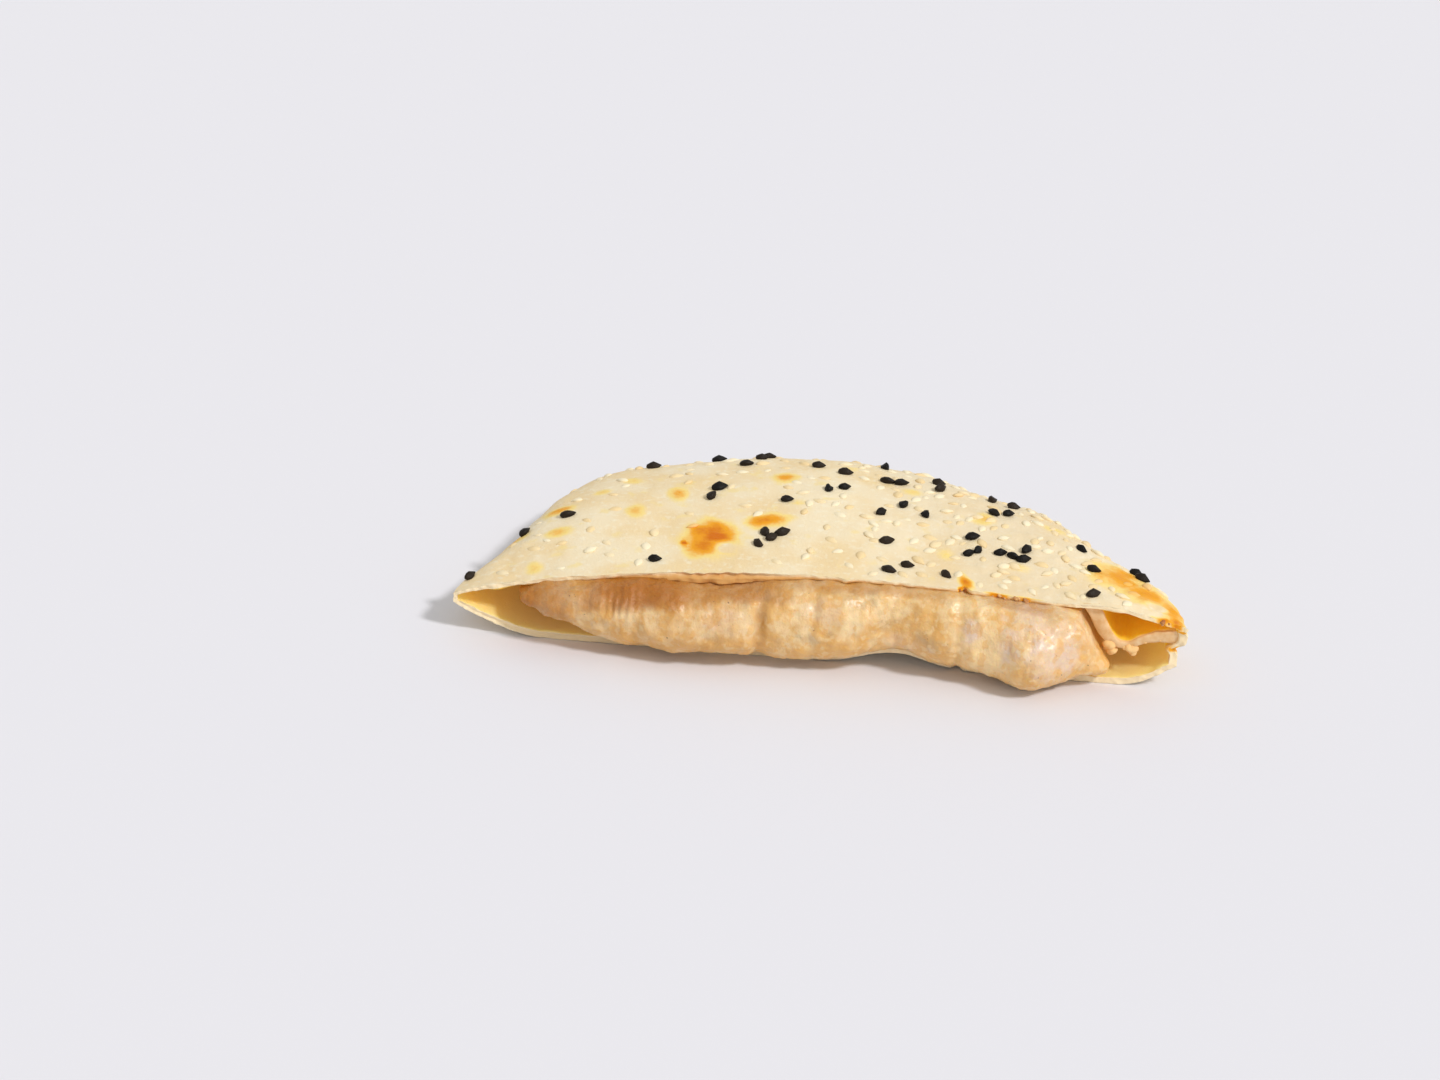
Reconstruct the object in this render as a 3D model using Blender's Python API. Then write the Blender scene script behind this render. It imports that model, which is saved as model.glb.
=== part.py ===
"""Half of a round flatbread filled with tahini paste, cut straight across its middle.

The cut runs along X and faces -Y, the baked rim curves away behind it towards +Y, and Z is up.
Two sheets of dough are sealed at the rim. The paste between them bulges out of the cut.
The shape functions work in millimetres, measured from the middle of the cut's lower edge.
"""

import math
import random

import bmesh
import bpy
from mathutils import Matrix, Vector

# Sizes of the whole half, in millimetres
MM = 0.001
HALF_CHORD = 75.0
DEPTH = 71.7
PEAK_X = 5.0
PEAK_HEIGHT = 19.7
END_INSET = 0.12

# A hill is its height, its middle along X and its half width. A negative height is a dip.
# The rim seen from above, as shares of its depth
LEFT_PINCH = 0.46
LEFT_PINCH_FROM = -54.0
LEFT_PINCH_TO = -73.0
LEFT_SHOULDER = (0.075, -46.0, 9.0)
RIGHT_PINCH = (0.15, 60.0, 9.0)
RIGHT_DIP = (0.06, 34.0, 12.0)
RIM_WAVE = 0.004
RIM_WAVE_RATE = 0.33

# The rim seen from the side
REAR_RIM_HEIGHT = 4.8
RIM_CLIMB_POWER = 10
LEFT_TIP_HEIGHT = 7.9
LEFT_TIP_THICKNESS = 2.2
RIGHT_TIP_TOP = 14.2
RIGHT_TIP_BOTTOM = 5.3
RIGHT_TUCK = 1.5
TUCK_FROM = 64.0
TUCK_ABOVE = 11.0
TUCK_BELOW = 8.0

# The top sheet: its edge at the cut, its dome, how it falls to the rim, and its lifted corner
CUT_CURVE_POWER = 1.8
CUT_CURVE_FULLNESS = 0.8
DOME_RISE = 1.0
DIMPLE = 0.35
DIMPLE_RATE = 0.13
DIMPLE_TURN = 5.0
FALL_POWER = 4.6
FALL_POWER_LOST_AT_CORNERS = 3.0
FALL_FULLNESS = 0.62
FLAP = (1.2, 60.0, 8.0)
FLAP_REACH = 12.0

# The underside: flat, with both corners curled up and a low arch under the cut
LEFT_CURL_START = -56.0
RIGHT_CURL_START = 62.0
CURL_POWER = 1.6
ARCH = (3.2, 16.0, 9.0)
ARCH_REACH = 34.0
FLAT_SHARE = 0.74

# The hollow between the two sheets
TOP_SHEET = 1.9
CORNER_SHEET = 1.2
CORNER_SHEET_FROM = 48.0
CORNER_SHEET_TO = 60.0
BOTTOM_SHEET = 1.6
HOLLOW_LEFT = -72.4
HOLLOW_RIGHT = 71.2
REAR_WALL = 5.0
CUT_CLEARANCE = 8.0
GAP = 0.3

# The inner ply that hangs across the right corner, as places along X and heights
PLY_LINE = (
    (53.0, 18.6), (55.5, 15.0), (57.0, 12.2), (58.8, 10.0), (61.0, 8.9),
    (63.5, 8.7), (66.2, 10.4), (69.0, 11.2), (73.6, 11.4),
)
PLY_THICKNESS = 1.5
PLY_ROOT = 1.6
PLY_RECESS = 0.7
PLY_SUNK = 0.25
PLY_SUNK_TOP = 0.8

# The paste, with its lobes, its creases and the place where it sags to the ground
PASTE_LEFT = -61.5
PASTE_RIGHT = 59.5
PASTE_DEPTH = 60.5
PASTE_DEPTH_POWER = 2.6
PASTE_REAR_POWER = 5
PASTE_ROUND_START = 47.0
PASTE_BULGE = 7.2
PASTE_LEAST_BULGE = 0.6
PASTE_BULGE_POWER = 5
PASTE_BULGE_FULLNESS = 0.8
PASTE_LOBES = ((6.0, 44.0, 7.0), (1.6, -28.0, 11.0), (-3.2, 16.0, 7.0))
PASTE_CREASES = ((-0.7, -12.0, 1.6), (-0.6, 28.5, 2.0), (-0.5, -37.0, 1.5))
PASTE_SAG = (-1.95, 44.0, 8.0)
PASTE_LOW = 2.3
PASTE_WIDEST = 0.46
PASTE_LIFT = 7.0
PASTE_LIFT_FROM = -36.0
PASTE_OVER_ARCH = 1.5
PASTE_LEAST_HEIGHT = 0.4
PASTE_FRONT = -0.4

# Shares of the way round each closed outline, and how many steps each loft takes
OVER_SHARE = 0.5
UNDER_SHARE = 0.4
PLY_FACE_SHARE = 0.45
PASTE_TOP_SHARE = 0.3
PASTE_FRONT_SHARE = 0.36
PASTE_FLOOR_SHARE = 0.3
DOUGH_STEPS = (40, 40)
HOLLOW_STEPS = (28, 20)
PLY_STEPS = (12, 20)
PASTE_STEPS = (40, 40)

# Seeds: length, width and thickness, and how much a seed narrows to its tip
BLACK_SEED = (3.2, 1.8, 1.5)
PALE_SEED = (3.1, 1.9, 1.1)
SEED_TAPER = 0.8
BLACK_LIFT = 0.15
SEED_RANDOM = 7
PALE_COUNT = 80
PALE_SPACING = 3.4
EDGE_MARGIN = 4.0
CUT_MARGIN = 2.5
RIM_MARGIN = 0.93

# The black seeds of the real half: place along the cut, place behind it, turn in degrees
BLACK_SEEDS = (
    (-72, 6.4, 50), (-61.8, 22, 50), (-53.4, 26, 10), (-34.5, 5.5, -5), (-36.8, 55, 0),
    (-22.5, 37, 15), (-24, 33, 70), (-23, 61, 10), (-17.2, 50.8, 0), (-14, 57, 0), (-12.5, 62, 20),
    (-8.3, 30.5, 5), (-12.5, 17.5, 100), (-8.9, 17.2, 25), (-11, 15, 40), (-13.8, 12.2, 120),
    (-2, 50.6, 0), (3.7, 47.4, -5), (0.1, 36.4, 95), (3.5, 38, 20), (12.2, 57, 90),
    (12.7, 45.6, -15), (15.6, 45, 20), (16.1, 33.6, 60), (11.3, 28.2, 45), (12.6, 16, 20),
    (13.2, 4.2, -20), (17, 7.2, -8), (23.5, 48.6, -15), (23.8, 44.6, 50), (20.6, 30, 100),
    (30.4, 21.8, 20), (29.6, 15.2, 30), (31.5, 16.9, 60), (34.8, 45, 95), (39.3, 41.6, 0),
    (38.1, 35.5, 30), (35, 34.3, -40), (36.2, 16.9, 15), (38.9, 15.9, -20), (41, 15.4, 20),
    (41.6, 19.2, 60), (25, 5, -50), (53.3, 25.2, -40), (55.6, 15.8, -10), (55.3, 4.8, 30),
    (65, 22.5, -20), (66, 19.4, -25),
)


def ramp(start, end, x):
    """0 before start, 1 after end, smooth between them."""
    t = min(max((x - start) / (end - start), 0.0), 1.0)
    return t * t * (3.0 - 2.0 * t)


def hill(x, shape):
    """A smooth rise along X, given as its height, its middle and its half width."""
    height, middle, width = shape
    return height * math.exp(-(((x - middle) / width) ** 2))


def rim_depth(x):
    """How far the rim lies behind the cut: a half round, pinched near both corners."""
    half_round = math.sqrt(max(0.0, 1.0 - (x / HALF_CHORD) ** 2))
    left = LEFT_PINCH * ramp(LEFT_PINCH_FROM, LEFT_PINCH_TO, x) - hill(x, LEFT_SHOULDER)
    right = hill(x, RIGHT_PINCH) + hill(x, RIGHT_DIP)
    return DEPTH * half_round * (1.0 - left - right + RIM_WAVE * math.sin(RIM_WAVE_RATE * x))


def rim_height(x):
    """The height of the rim's outermost line, which climbs to both corners."""
    right_tip = (RIGHT_TIP_TOP + RIGHT_TIP_BOTTOM) / 2.0
    tip = right_tip if x > 0.0 else LEFT_TIP_HEIGHT
    return REAR_RIM_HEIGHT + (tip - REAR_RIM_HEIGHT) * abs(x / HALF_CHORD) ** RIM_CLIMB_POWER


def cut_top(x):
    """The outer edge of the top sheet along the cut, before its corner is lifted."""
    if x < PEAK_X:
        low = LEFT_TIP_HEIGHT + LEFT_TIP_THICKNESS / 2.0
        run = (PEAK_X - x) / (PEAK_X + HALF_CHORD)
    else:
        low = RIGHT_TIP_TOP
        run = (x - PEAK_X) / (HALF_CHORD - PEAK_X)
    return low + (PEAK_HEIGHT - low) * max(0.0, 1.0 - run**CUT_CURVE_POWER) ** CUT_CURVE_FULLNESS


def base_height(x, y):
    """The underside: flat, curled up at both corners and arched a little at the cut."""
    left_run = max(0.0, (LEFT_CURL_START - x) / (HALF_CHORD + LEFT_CURL_START))
    right_run = max(0.0, (x - RIGHT_CURL_START) / (HALF_CHORD - RIGHT_CURL_START))
    left = (LEFT_TIP_HEIGHT - LEFT_TIP_THICKNESS / 2.0) * left_run**CURL_POWER
    right = RIGHT_TIP_BOTTOM * right_run**CURL_POWER
    return left + right + hill(x, ARCH) * (1.0 - ramp(0.0, ARCH_REACH, y))


def way_back(x, y, depth):
    """0 at the cut, 1 where an outline of this depth ends behind it."""
    return min(max(y, 0.0) / max(depth, END_INSET), 1.0)


def dome(x, share):
    """What the top sheet rises behind the cut, share of the way back to the rim."""
    across = 1.0 - (x / HALF_CHORD) ** 2
    rise = DOME_RISE * math.sin(math.pi * share) ** 2 * across
    return rise + DIMPLE * math.sin(DIMPLE_RATE * x + DIMPLE_TURN * share) * math.sin(math.pi * share)


def top_face(x, y, depth, sheet):
    """The top sheet's outer face, or its inner face when sheet is its thickness."""
    share = way_back(x, y, depth)
    power = FALL_POWER - FALL_POWER_LOST_AT_CORNERS * abs(x / HALF_CHORD) ** 4
    fall = max(0.0, 1.0 - share**power) ** FALL_FULLNESS
    rim = rim_height(x)
    flap = hill(x, FLAP) * (1.0 - ramp(0.0, FLAP_REACH, y))
    return rim + (cut_top(x) - sheet - rim + dome(x, share) + flap) * fall


def bottom_face(x, y, depth, sheet):
    """The bottom sheet's outer face, or its inner face when sheet is its thickness."""
    turn = max(0.0, (way_back(x, y, depth) - FLAT_SHARE) / (1.0 - FLAT_SHARE))
    rim = rim_height(x)
    return rim - (rim - sheet - base_height(x, y)) * math.sqrt(1.0 - turn * turn)


def top_height(x, y):
    return top_face(x, y, rim_depth(x), 0.0)


def bottom_height(x, y):
    return bottom_face(x, y, rim_depth(x), 0.0)


def hollow_depth(x):
    """How far back the hollow between the sheets reaches."""
    end = HOLLOW_LEFT if x < 0.0 else HOLLOW_RIGHT
    scaled = min(1.0, x / end) * math.copysign(HALF_CHORD, x)
    return rim_depth(scaled) * (1.0 - REAR_WALL / HALF_CHORD)


def hollow_top(x, y):
    thinner = (TOP_SHEET - CORNER_SHEET) * ramp(CORNER_SHEET_FROM, CORNER_SHEET_TO, x)
    return top_face(x, y, hollow_depth(x), TOP_SHEET - thinner)


def hollow_bottom(x, y):
    return bottom_face(x, y, hollow_depth(x), BOTTOM_SHEET)


def ply_height(x):
    """The middle of the inner ply at the right corner."""
    if x <= PLY_LINE[0][0]:
        return PLY_LINE[0][1] + (PLY_LINE[0][0] - x)
    for (x0, z0), (x1, z1) in zip(PLY_LINE, PLY_LINE[1:]):
        if x <= x1:
            return z0 + (z1 - z0) * (x - x0) / (x1 - x0)
    return PLY_LINE[-1][1]


def ply_half(x):
    """Half the inner ply's thickness, measured straight up, so more where it is steep."""
    slope = (ply_height(x + 1.0) - ply_height(x - 1.0)) / 2.0
    return PLY_THICKNESS / 2.0 * math.sqrt(1.0 + slope * slope)


def tucked(x, y, z):
    """Draws the right end in below its tip, where the bottom sheet stops short."""
    return x - RIGHT_TUCK * ramp(TUCK_FROM, HALF_CHORD, x) * ramp(TUCK_ABOVE, TUCK_BELOW, z), y, z


def spaced(u, start, end):
    """Places along X that crowd towards both ends."""
    return start + (end - start) * (1.0 - math.cos(math.pi * u)) / 2.0


def quarter(share):
    """0 to 1 as a quarter turn, so that steps crowd where an outline ends."""
    return math.sin(math.pi / 2.0 * share)


def outer_point(u, v):
    """The outside of the dough: over the top, round the rim, back underneath, up the cut."""
    x = spaced(u, -HALF_CHORD + END_INSET, HALF_CHORD - END_INSET)
    turned = OVER_SHARE + UNDER_SHARE
    if v < OVER_SHARE:
        y = rim_depth(x) * quarter(v / OVER_SHARE)
        return tucked(x, y, top_height(x, y))
    if v < turned:
        y = rim_depth(x) * quarter((turned - v) / UNDER_SHARE)
        return tucked(x, y, bottom_height(x, y))
    low, high = bottom_height(x, 0.0), top_height(x, 0.0)
    return tucked(x, 0.0, low + (high - low) * (v - turned) / (1.0 - turned))


def hollow_point(u, v):
    """The hollow between the sheets, which runs out through the cut."""
    x = spaced(u, HOLLOW_LEFT + END_INSET, HOLLOW_RIGHT - END_INSET)
    reach = hollow_depth(x) + CUT_CLEARANCE
    turned = OVER_SHARE + UNDER_SHARE
    if v < OVER_SHARE:
        y = reach * quarter(v / OVER_SHARE) - CUT_CLEARANCE
        return tucked(x, y, hollow_top(x, y))
    if v < turned:
        y = reach * quarter((turned - v) / UNDER_SHARE) - CUT_CLEARANCE
        return tucked(x, y, hollow_bottom(x, y))
    low, high = hollow_bottom(x, 0.0), hollow_top(x, 0.0)
    return tucked(x, -CUT_CLEARANCE, low + (high - low) * (v - turned) / (1.0 - turned))


def ply_point(u, v):
    """The inner ply: a thin sheet that follows its line along X and runs back into the rim."""
    x = PLY_LINE[0][0] + (PLY_LINE[-1][0] - PLY_LINE[0][0]) * u
    held = min(x, HOLLOW_RIGHT - END_INSET)
    above = v < 0.5
    share = v / PLY_FACE_SHARE if above else (0.5 + PLY_FACE_SHARE - v) / PLY_FACE_SHARE
    y = PLY_RECESS + (hollow_depth(held) + PLY_ROOT - PLY_RECESS) * min(max(share, 0.0), 1.0)
    side = 1.0 if above else -1.0
    sunk = hollow_top(held, y) + (PLY_SUNK_TOP if above else PLY_SUNK)
    return tucked(x, y, min(ply_height(x) + side * ply_half(x), sunk))


def paste_share(x):
    """0 in the middle of the paste, 1 at either end."""
    middle = (PASTE_LEFT + PASTE_RIGHT) / 2.0
    return min(1.0, abs(x - middle) / (PASTE_RIGHT - middle))


def paste_end(x):
    """1 along the paste, falling to 0 over its rounded right end."""
    run = max(0.0, (x - PASTE_ROUND_START) / (PASTE_RIGHT - PASTE_ROUND_START))
    return math.sqrt(max(0.0, 1.0 - run * run))


def paste_bulge(x):
    """How far the paste stands out of the cut."""
    ends = math.sqrt(1.0 - paste_share(x) ** PASTE_BULGE_POWER)
    uneven = sum(hill(x, shape) for shape in PASTE_LOBES + PASTE_CREASES)
    return PASTE_LEAST_BULGE + (PASTE_BULGE + uneven) * ends


def paste_lift(x):
    """How far the paste's underside climbs towards its left end."""
    return PASTE_LIFT * ramp(PASTE_LIFT_FROM, PASTE_LEFT, x)


def paste_low(x):
    """The lowest line of the bulge, which sags to the ground at one lobe."""
    return PASTE_LOW + paste_lift(x) + PASTE_OVER_ARCH * hill(x, ARCH) + hill(x, PASTE_SAG)


def paste_limits(x, y):
    """The lowest and highest the paste can be between the sheets and under the ply."""
    under_ply = ply_height(x) - ply_half(x) * (1.0 + 2.0 * GAP / PLY_THICKNESS)
    high = min(hollow_top(x, y) - GAP, under_ply)
    low = min(hollow_bottom(x, y) + GAP + paste_lift(x), high - PASTE_LEAST_HEIGHT)
    middle = low + (high - low) * PASTE_WIDEST
    return middle + (low - middle) * paste_end(x), middle + (high - middle) * paste_end(x)


def paste_point(u, v):
    """The paste: forward over its top, down the bulge, back underneath."""
    x = spaced(u, PASTE_LEFT + END_INSET, PASTE_RIGHT - END_INSET)
    over = v < PASTE_TOP_SHARE
    if over or v >= 1.0 - PASTE_FLOOR_SHARE:
        turn = 1.0 - v / PASTE_TOP_SHARE if over else 1.0 - (1.0 - v) / PASTE_FLOOR_SHARE
        depth = PASTE_DEPTH * math.sqrt(1.0 - paste_share(x) ** PASTE_DEPTH_POWER)
        low, high = paste_limits(x, depth * quarter(turn))
        closing = math.sqrt(1.0 - quarter(turn) ** PASTE_REAR_POWER)
        half = closing * (high - low) / 2.0
        return x, depth * quarter(turn), (low + high) / 2.0 + (half if over else -half)
    low, high = paste_limits(x, 0.0)
    turn = math.pi * (v - PASTE_TOP_SHARE) / PASTE_FRONT_SHARE
    if turn > math.pi:
        return x, PASTE_FRONT, low
    bottom = low + (min(paste_low(x), low) - low) * paste_end(x)
    middle = bottom + (high - bottom) * PASTE_WIDEST
    y = PASTE_FRONT - paste_bulge(x) * max(0.0, math.sin(turn)) ** PASTE_BULGE_FULLNESS
    z = middle + math.cos(turn) * (high - middle if turn < math.pi / 2.0 else middle - bottom)
    return x, y, z


def lofted(name, steps, place):
    """A closed tube along X whose points are put by place(u, v), u along it and v round it."""
    along, around = steps
    shape = bmesh.new()
    bmesh.ops.create_cone(shape, cap_ends=True, segments=around, radius1=1.0, radius2=1.0, depth=1.0)
    long_edges = [edge for edge in shape.edges if abs(edge.verts[0].co.z - edge.verts[1].co.z) > 0.5]
    bmesh.ops.subdivide_edges(shape, edges=long_edges, cuts=along - 1, use_grid_fill=True)
    for vert in shape.verts:
        turn = math.atan2(vert.co.y, vert.co.x) / math.tau
        step = round(turn * around) % around
        vert.co = Vector(place(vert.co.z + 0.5, step / around)) * MM
    shape.normal_update()
    bmesh.ops.triangulate(shape, faces=shape.faces)
    bmesh.ops.recalc_face_normals(shape, faces=shape.faces)
    return as_object(name, shape)


def as_object(name, shape):
    mesh = bpy.data.meshes.new(name)
    shape.to_mesh(mesh)
    shape.free()
    return bpy.data.objects.new(name, mesh)


def surface_frame(x, y):
    """A place on the top sheet and the way that the sheet faces there."""
    step = 0.5
    slope_x = (top_height(x + step, y) - top_height(x - step, y)) / (2.0 * step)
    slope_y = (top_height(x, y + step) - top_height(x, y - step)) / (2.0 * step)
    return Vector((x, y, top_height(x, y))), Vector((-slope_x, -slope_y, 1.0)).normalized()


def seed(name, size, x, y, turn, lift):
    """One drop-shaped seed, partly sunk in the top sheet."""
    shape = bmesh.new()
    bmesh.ops.create_icosphere(shape, subdivisions=1, radius=0.5)
    for vert in shape.verts:
        narrow = 1.0 - SEED_TAPER * max(0.0, vert.co.x)
        vert.co = Vector((vert.co.x * size[0], vert.co.y * size[1] * narrow, vert.co.z * size[2] * narrow))
    place, up = surface_frame(x, y)
    lean = Vector((0.0, 0.0, 1.0)).rotation_difference(up).to_matrix().to_4x4()
    move = Matrix.Translation(place + up * lift) @ lean @ Matrix.Rotation(turn, 4, "Z")
    bmesh.ops.transform(shape, matrix=Matrix.Diagonal((MM, MM, MM, 1.0)) @ move, verts=shape.verts)
    return as_object(name, shape)


def far_enough(x, y, taken):
    return all((x - other_x) ** 2 + (y - other_y) ** 2 > PALE_SPACING**2 for other_x, other_y in taken)


def on_sheet(x, y):
    """Whether a seed here sits on the sheet, off its edges."""
    return abs(x) < HALF_CHORD - EDGE_MARGIN and CUT_MARGIN < y < rim_depth(x) * RIM_MARGIN


def crowding(x, y):
    """How likely a pale seed is here: sesame lies thickest to the rear and right."""
    return 0.1 + 0.9 * ramp(-15.0, 45.0, x) + 0.35 * ramp(30.0, 60.0, y)


def pale_places(draw, taken):
    """Sesame is strewn at random, off the black seeds and off one another."""
    places = []
    while len(places) < PALE_COUNT:
        x, y = draw.uniform(-HALF_CHORD, HALF_CHORD), draw.uniform(0.0, DEPTH)
        if draw.random() < crowding(x, y) and on_sheet(x, y) and far_enough(x, y, taken + places):
            places.append((x, y))
    return places


def material(name, colour, roughness):
    made = bpy.data.materials.new(name)
    made.use_nodes = True
    shader = made.node_tree.nodes["Principled BSDF"]
    shader.inputs["Base Color"].default_value = (*colour, 1.0)
    shader.inputs["Roughness"].default_value = roughness
    shader.inputs["Metallic"].default_value = 0.0
    made.diffuse_color = (*colour, 1.0)
    return made


def combine(target, other, operation):
    """A Boolean on one object or a collection, applied, with the operand removed.

    The exact solver loses the free part of the ply here, and the manifold solver keeps it.
    """
    modifier = target.modifiers.new("combine", "BOOLEAN")
    modifier.operation = operation
    modifier.solver = "MANIFOLD"
    if isinstance(other, bpy.types.Collection):
        modifier.operand_type = "COLLECTION"
        modifier.collection = other
        used = list(other.objects)
    else:
        modifier.object = other
        used = [other]
    bpy.context.view_layer.update()
    graph = bpy.context.evaluated_depsgraph_get()
    mesh = bpy.data.meshes.new_from_object(target.evaluated_get(graph))
    target.modifiers.clear()
    target.data = mesh
    for obj in used:
        bpy.data.objects.remove(obj)


def keep_largest(target):
    """Drops any loose scrap that a Boolean left beside the body."""
    shape = bmesh.new()
    shape.from_mesh(target.data)
    left, groups = set(shape.verts), []
    while left:
        group, edge_of_group = set(), [left.pop()]
        while edge_of_group:
            vert = edge_of_group.pop()
            group.add(vert)
            neighbours = {edge.other_vert(vert) for edge in vert.link_edges} & left
            left -= neighbours
            edge_of_group.extend(neighbours)
        groups.append(group)
    largest = max(groups, key=len)
    scrap = [vert for vert in shape.verts if vert not in largest]
    bmesh.ops.delete(shape, geom=scrap, context="VERTS")
    shape.to_mesh(target.data)
    shape.free()


def make_seeds():
    """A collection of every seed: the black ones in their own places, the pale ones strewn."""
    seeds = bpy.data.collections.new("seeds")
    bpy.context.scene.collection.children.link(seeds)
    draw = random.Random(SEED_RANDOM)
    for x, y, degrees in BLACK_SEEDS:
        seeds.objects.link(seed("black seed", BLACK_SEED, x, y, math.radians(degrees), BLACK_LIFT))
    taken = [(x, y) for x, y, degrees in BLACK_SEEDS]
    for x, y in pale_places(draw, taken):
        seeds.objects.link(seed("pale seed", PALE_SEED, x, y, draw.uniform(0.0, math.tau), 0.0))
    return seeds


def make_dough(parts, tools):
    """Two sheets of dough sealed at the rim, with the inner ply and the seeds joined to them."""
    dough = lofted("dough", DOUGH_STEPS, outer_point)
    hollow = lofted("hollow", HOLLOW_STEPS, hollow_point)
    ply = lofted("ply", PLY_STEPS, ply_point)
    parts.objects.link(dough)
    tools.objects.link(hollow)
    tools.objects.link(ply)
    combine(dough, hollow, "DIFFERENCE")
    combine(dough, ply, "UNION")
    seeds = make_seeds()
    combine(dough, seeds, "UNION")
    bpy.data.collections.remove(seeds)
    keep_largest(dough)
    dough.data.materials.clear()
    dough.data.materials.append(material("baked dough", (0.80, 0.68, 0.44), 0.62))
    return dough


def make_paste(parts):
    """The paste between the sheets, standing out of the cut."""
    paste = lofted("tahini_paste", PASTE_STEPS, paste_point)
    parts.objects.link(paste)
    paste.data.materials.append(material("tahini", (0.62, 0.42, 0.23), 0.38))
    return paste


def centre_over_ground(objects):
    """Moves the meshes so that the middle of their box's underside is the origin."""
    points = [vert.co for obj in objects for vert in obj.data.vertices]
    low = Vector([min(point[axis] for point in points) for axis in range(3)])
    high = Vector([max(point[axis] for point in points) for axis in range(3)])
    move = Vector((-(low.x + high.x) / 2.0, -(low.y + high.y) / 2.0, -low.z))
    for obj in objects:
        obj.data.transform(Matrix.Translation(move))


def main():
    for obj in list(bpy.data.objects):
        bpy.data.objects.remove(obj)
    parts = bpy.data.collections.new("half_filled_flatbread")
    tools = bpy.data.collections.new("cutters")
    for collection in (parts, tools):
        bpy.context.scene.collection.children.link(collection)
    pieces = [make_dough(parts, tools), make_paste(parts)]
    centre_over_ground(pieces)
    for piece in pieces:
        print(piece.name, len(piece.data.polygons), "faces")


main()
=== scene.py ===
# %% [markdown]
# # Half of a flatbread filled with tahini paste
# The real thing is a round flatbread: two thin sheets of dough sealed at the rim, baked with sesame paste
# between them, strewn with black and pale seeds and cut straight across. This lesson dresses its packed
# solids, which are the fixed frame: every piece made here takes its place and its size from them.

# %% Load the frame
import math
import random

import bmesh
import bpy
from mathutils import Matrix, Vector, noise


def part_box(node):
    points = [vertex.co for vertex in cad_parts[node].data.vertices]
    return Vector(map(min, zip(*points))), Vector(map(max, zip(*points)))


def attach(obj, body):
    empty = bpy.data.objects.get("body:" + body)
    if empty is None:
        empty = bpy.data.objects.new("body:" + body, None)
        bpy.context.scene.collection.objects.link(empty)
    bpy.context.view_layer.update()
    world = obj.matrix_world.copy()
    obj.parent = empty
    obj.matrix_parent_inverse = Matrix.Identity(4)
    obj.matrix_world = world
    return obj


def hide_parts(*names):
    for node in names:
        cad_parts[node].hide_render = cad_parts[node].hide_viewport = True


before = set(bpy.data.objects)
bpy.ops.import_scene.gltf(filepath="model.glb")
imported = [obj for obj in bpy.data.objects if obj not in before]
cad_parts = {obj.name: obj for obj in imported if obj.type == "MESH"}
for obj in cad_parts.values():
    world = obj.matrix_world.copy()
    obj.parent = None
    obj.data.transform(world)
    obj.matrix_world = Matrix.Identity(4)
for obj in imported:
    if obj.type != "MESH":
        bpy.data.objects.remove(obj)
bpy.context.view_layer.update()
MM = 0.001
CUT_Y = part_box("dough")[0].y / MM
print("the cut lies at y", round(CUT_Y, 2), "mm")

# %% [markdown]
# # The camera
# The picture looks down on the half by 28 degrees, and it is rolled a little, so that the right end lies
# lower. One point at the middle of the cut is known in the picture, and so is the scale there. The camera
# is turned by its own axes, moved sideways until that point falls on its pixel, and drawn back until the
# scale is right. A long lens keeps the far rim nearly as large as the cut.

# %% Camera
PICTURE = (1440, 1080)
PIXELS_PER_MM = 4.9
KNOWN_PIXEL = (820, 618)
KNOWN_POINT = Vector((0.0, CUT_Y, 9.9))
LOOK_DOWN = math.radians(28.0)
ROLL = math.radians(4.6)
SENSOR = 36.0
LENS = 135.0
FARTHEST = 20000.0


def placed(name, data):
    """A new object in the scene that shows a camera, a lamp or a mesh."""
    made = bpy.data.objects.new(name, data)
    bpy.context.scene.collection.objects.link(made)
    return made


rise = Vector((0.0, math.sin(LOOK_DOWN), math.cos(LOOK_DOWN)))
side = Vector((1.0, 0.0, 0.0))
right = side * math.cos(ROLL) + rise * math.sin(ROLL)
up = rise * math.cos(ROLL) - side * math.sin(ROLL)
back = right.cross(up)
across = (PICTURE[0] / 2 - KNOWN_PIXEL[0]) / PIXELS_PER_MM
down = (PICTURE[1] / 2 - KNOWN_PIXEL[1]) / PIXELS_PER_MM
distance = PICTURE[0] * LENS / SENSOR / PIXELS_PER_MM
eye = KNOWN_POINT + right * across - up * down + back * distance

camera = placed("camera", bpy.data.cameras.new("camera"))
camera.data.lens = LENS
camera.data.sensor_width = SENSOR
camera.data.clip_end = FARTHEST * MM
camera.matrix_world = Matrix.Translation(eye * MM) @ Matrix((right, up, back)).transposed().to_4x4()
bpy.context.scene.camera = camera
print("the camera stands", round(distance), "mm from the cut")

# %% [markdown]
# # Light and floor
# The half lies on a plain pale floor, with one large lamp to the right and in front, and so much light from
# all round that the shadows stay pale. An area lamp would light the floor unevenly so near, so a sun lamp is
# used, whose angle gives a shadow its soft edge, and the world's own colour fills the rest. Outside a shadow
# the two light the floor about four to six. The floor is one large sheet, and it is marked as stage.

# %% Lamp and world
KEY_TURN = math.radians(55.0)
KEY_RISE = math.radians(47.0)
KEY_SPREAD = math.radians(9.0)
KEY_STRENGTH = 1.82
KEY_COLOUR = (1.0, 0.985, 0.98)
SKY_COLOUR = (1.0, 1.0, 0.97, 1.0)
SKY_STRENGTH = 0.61

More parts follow.
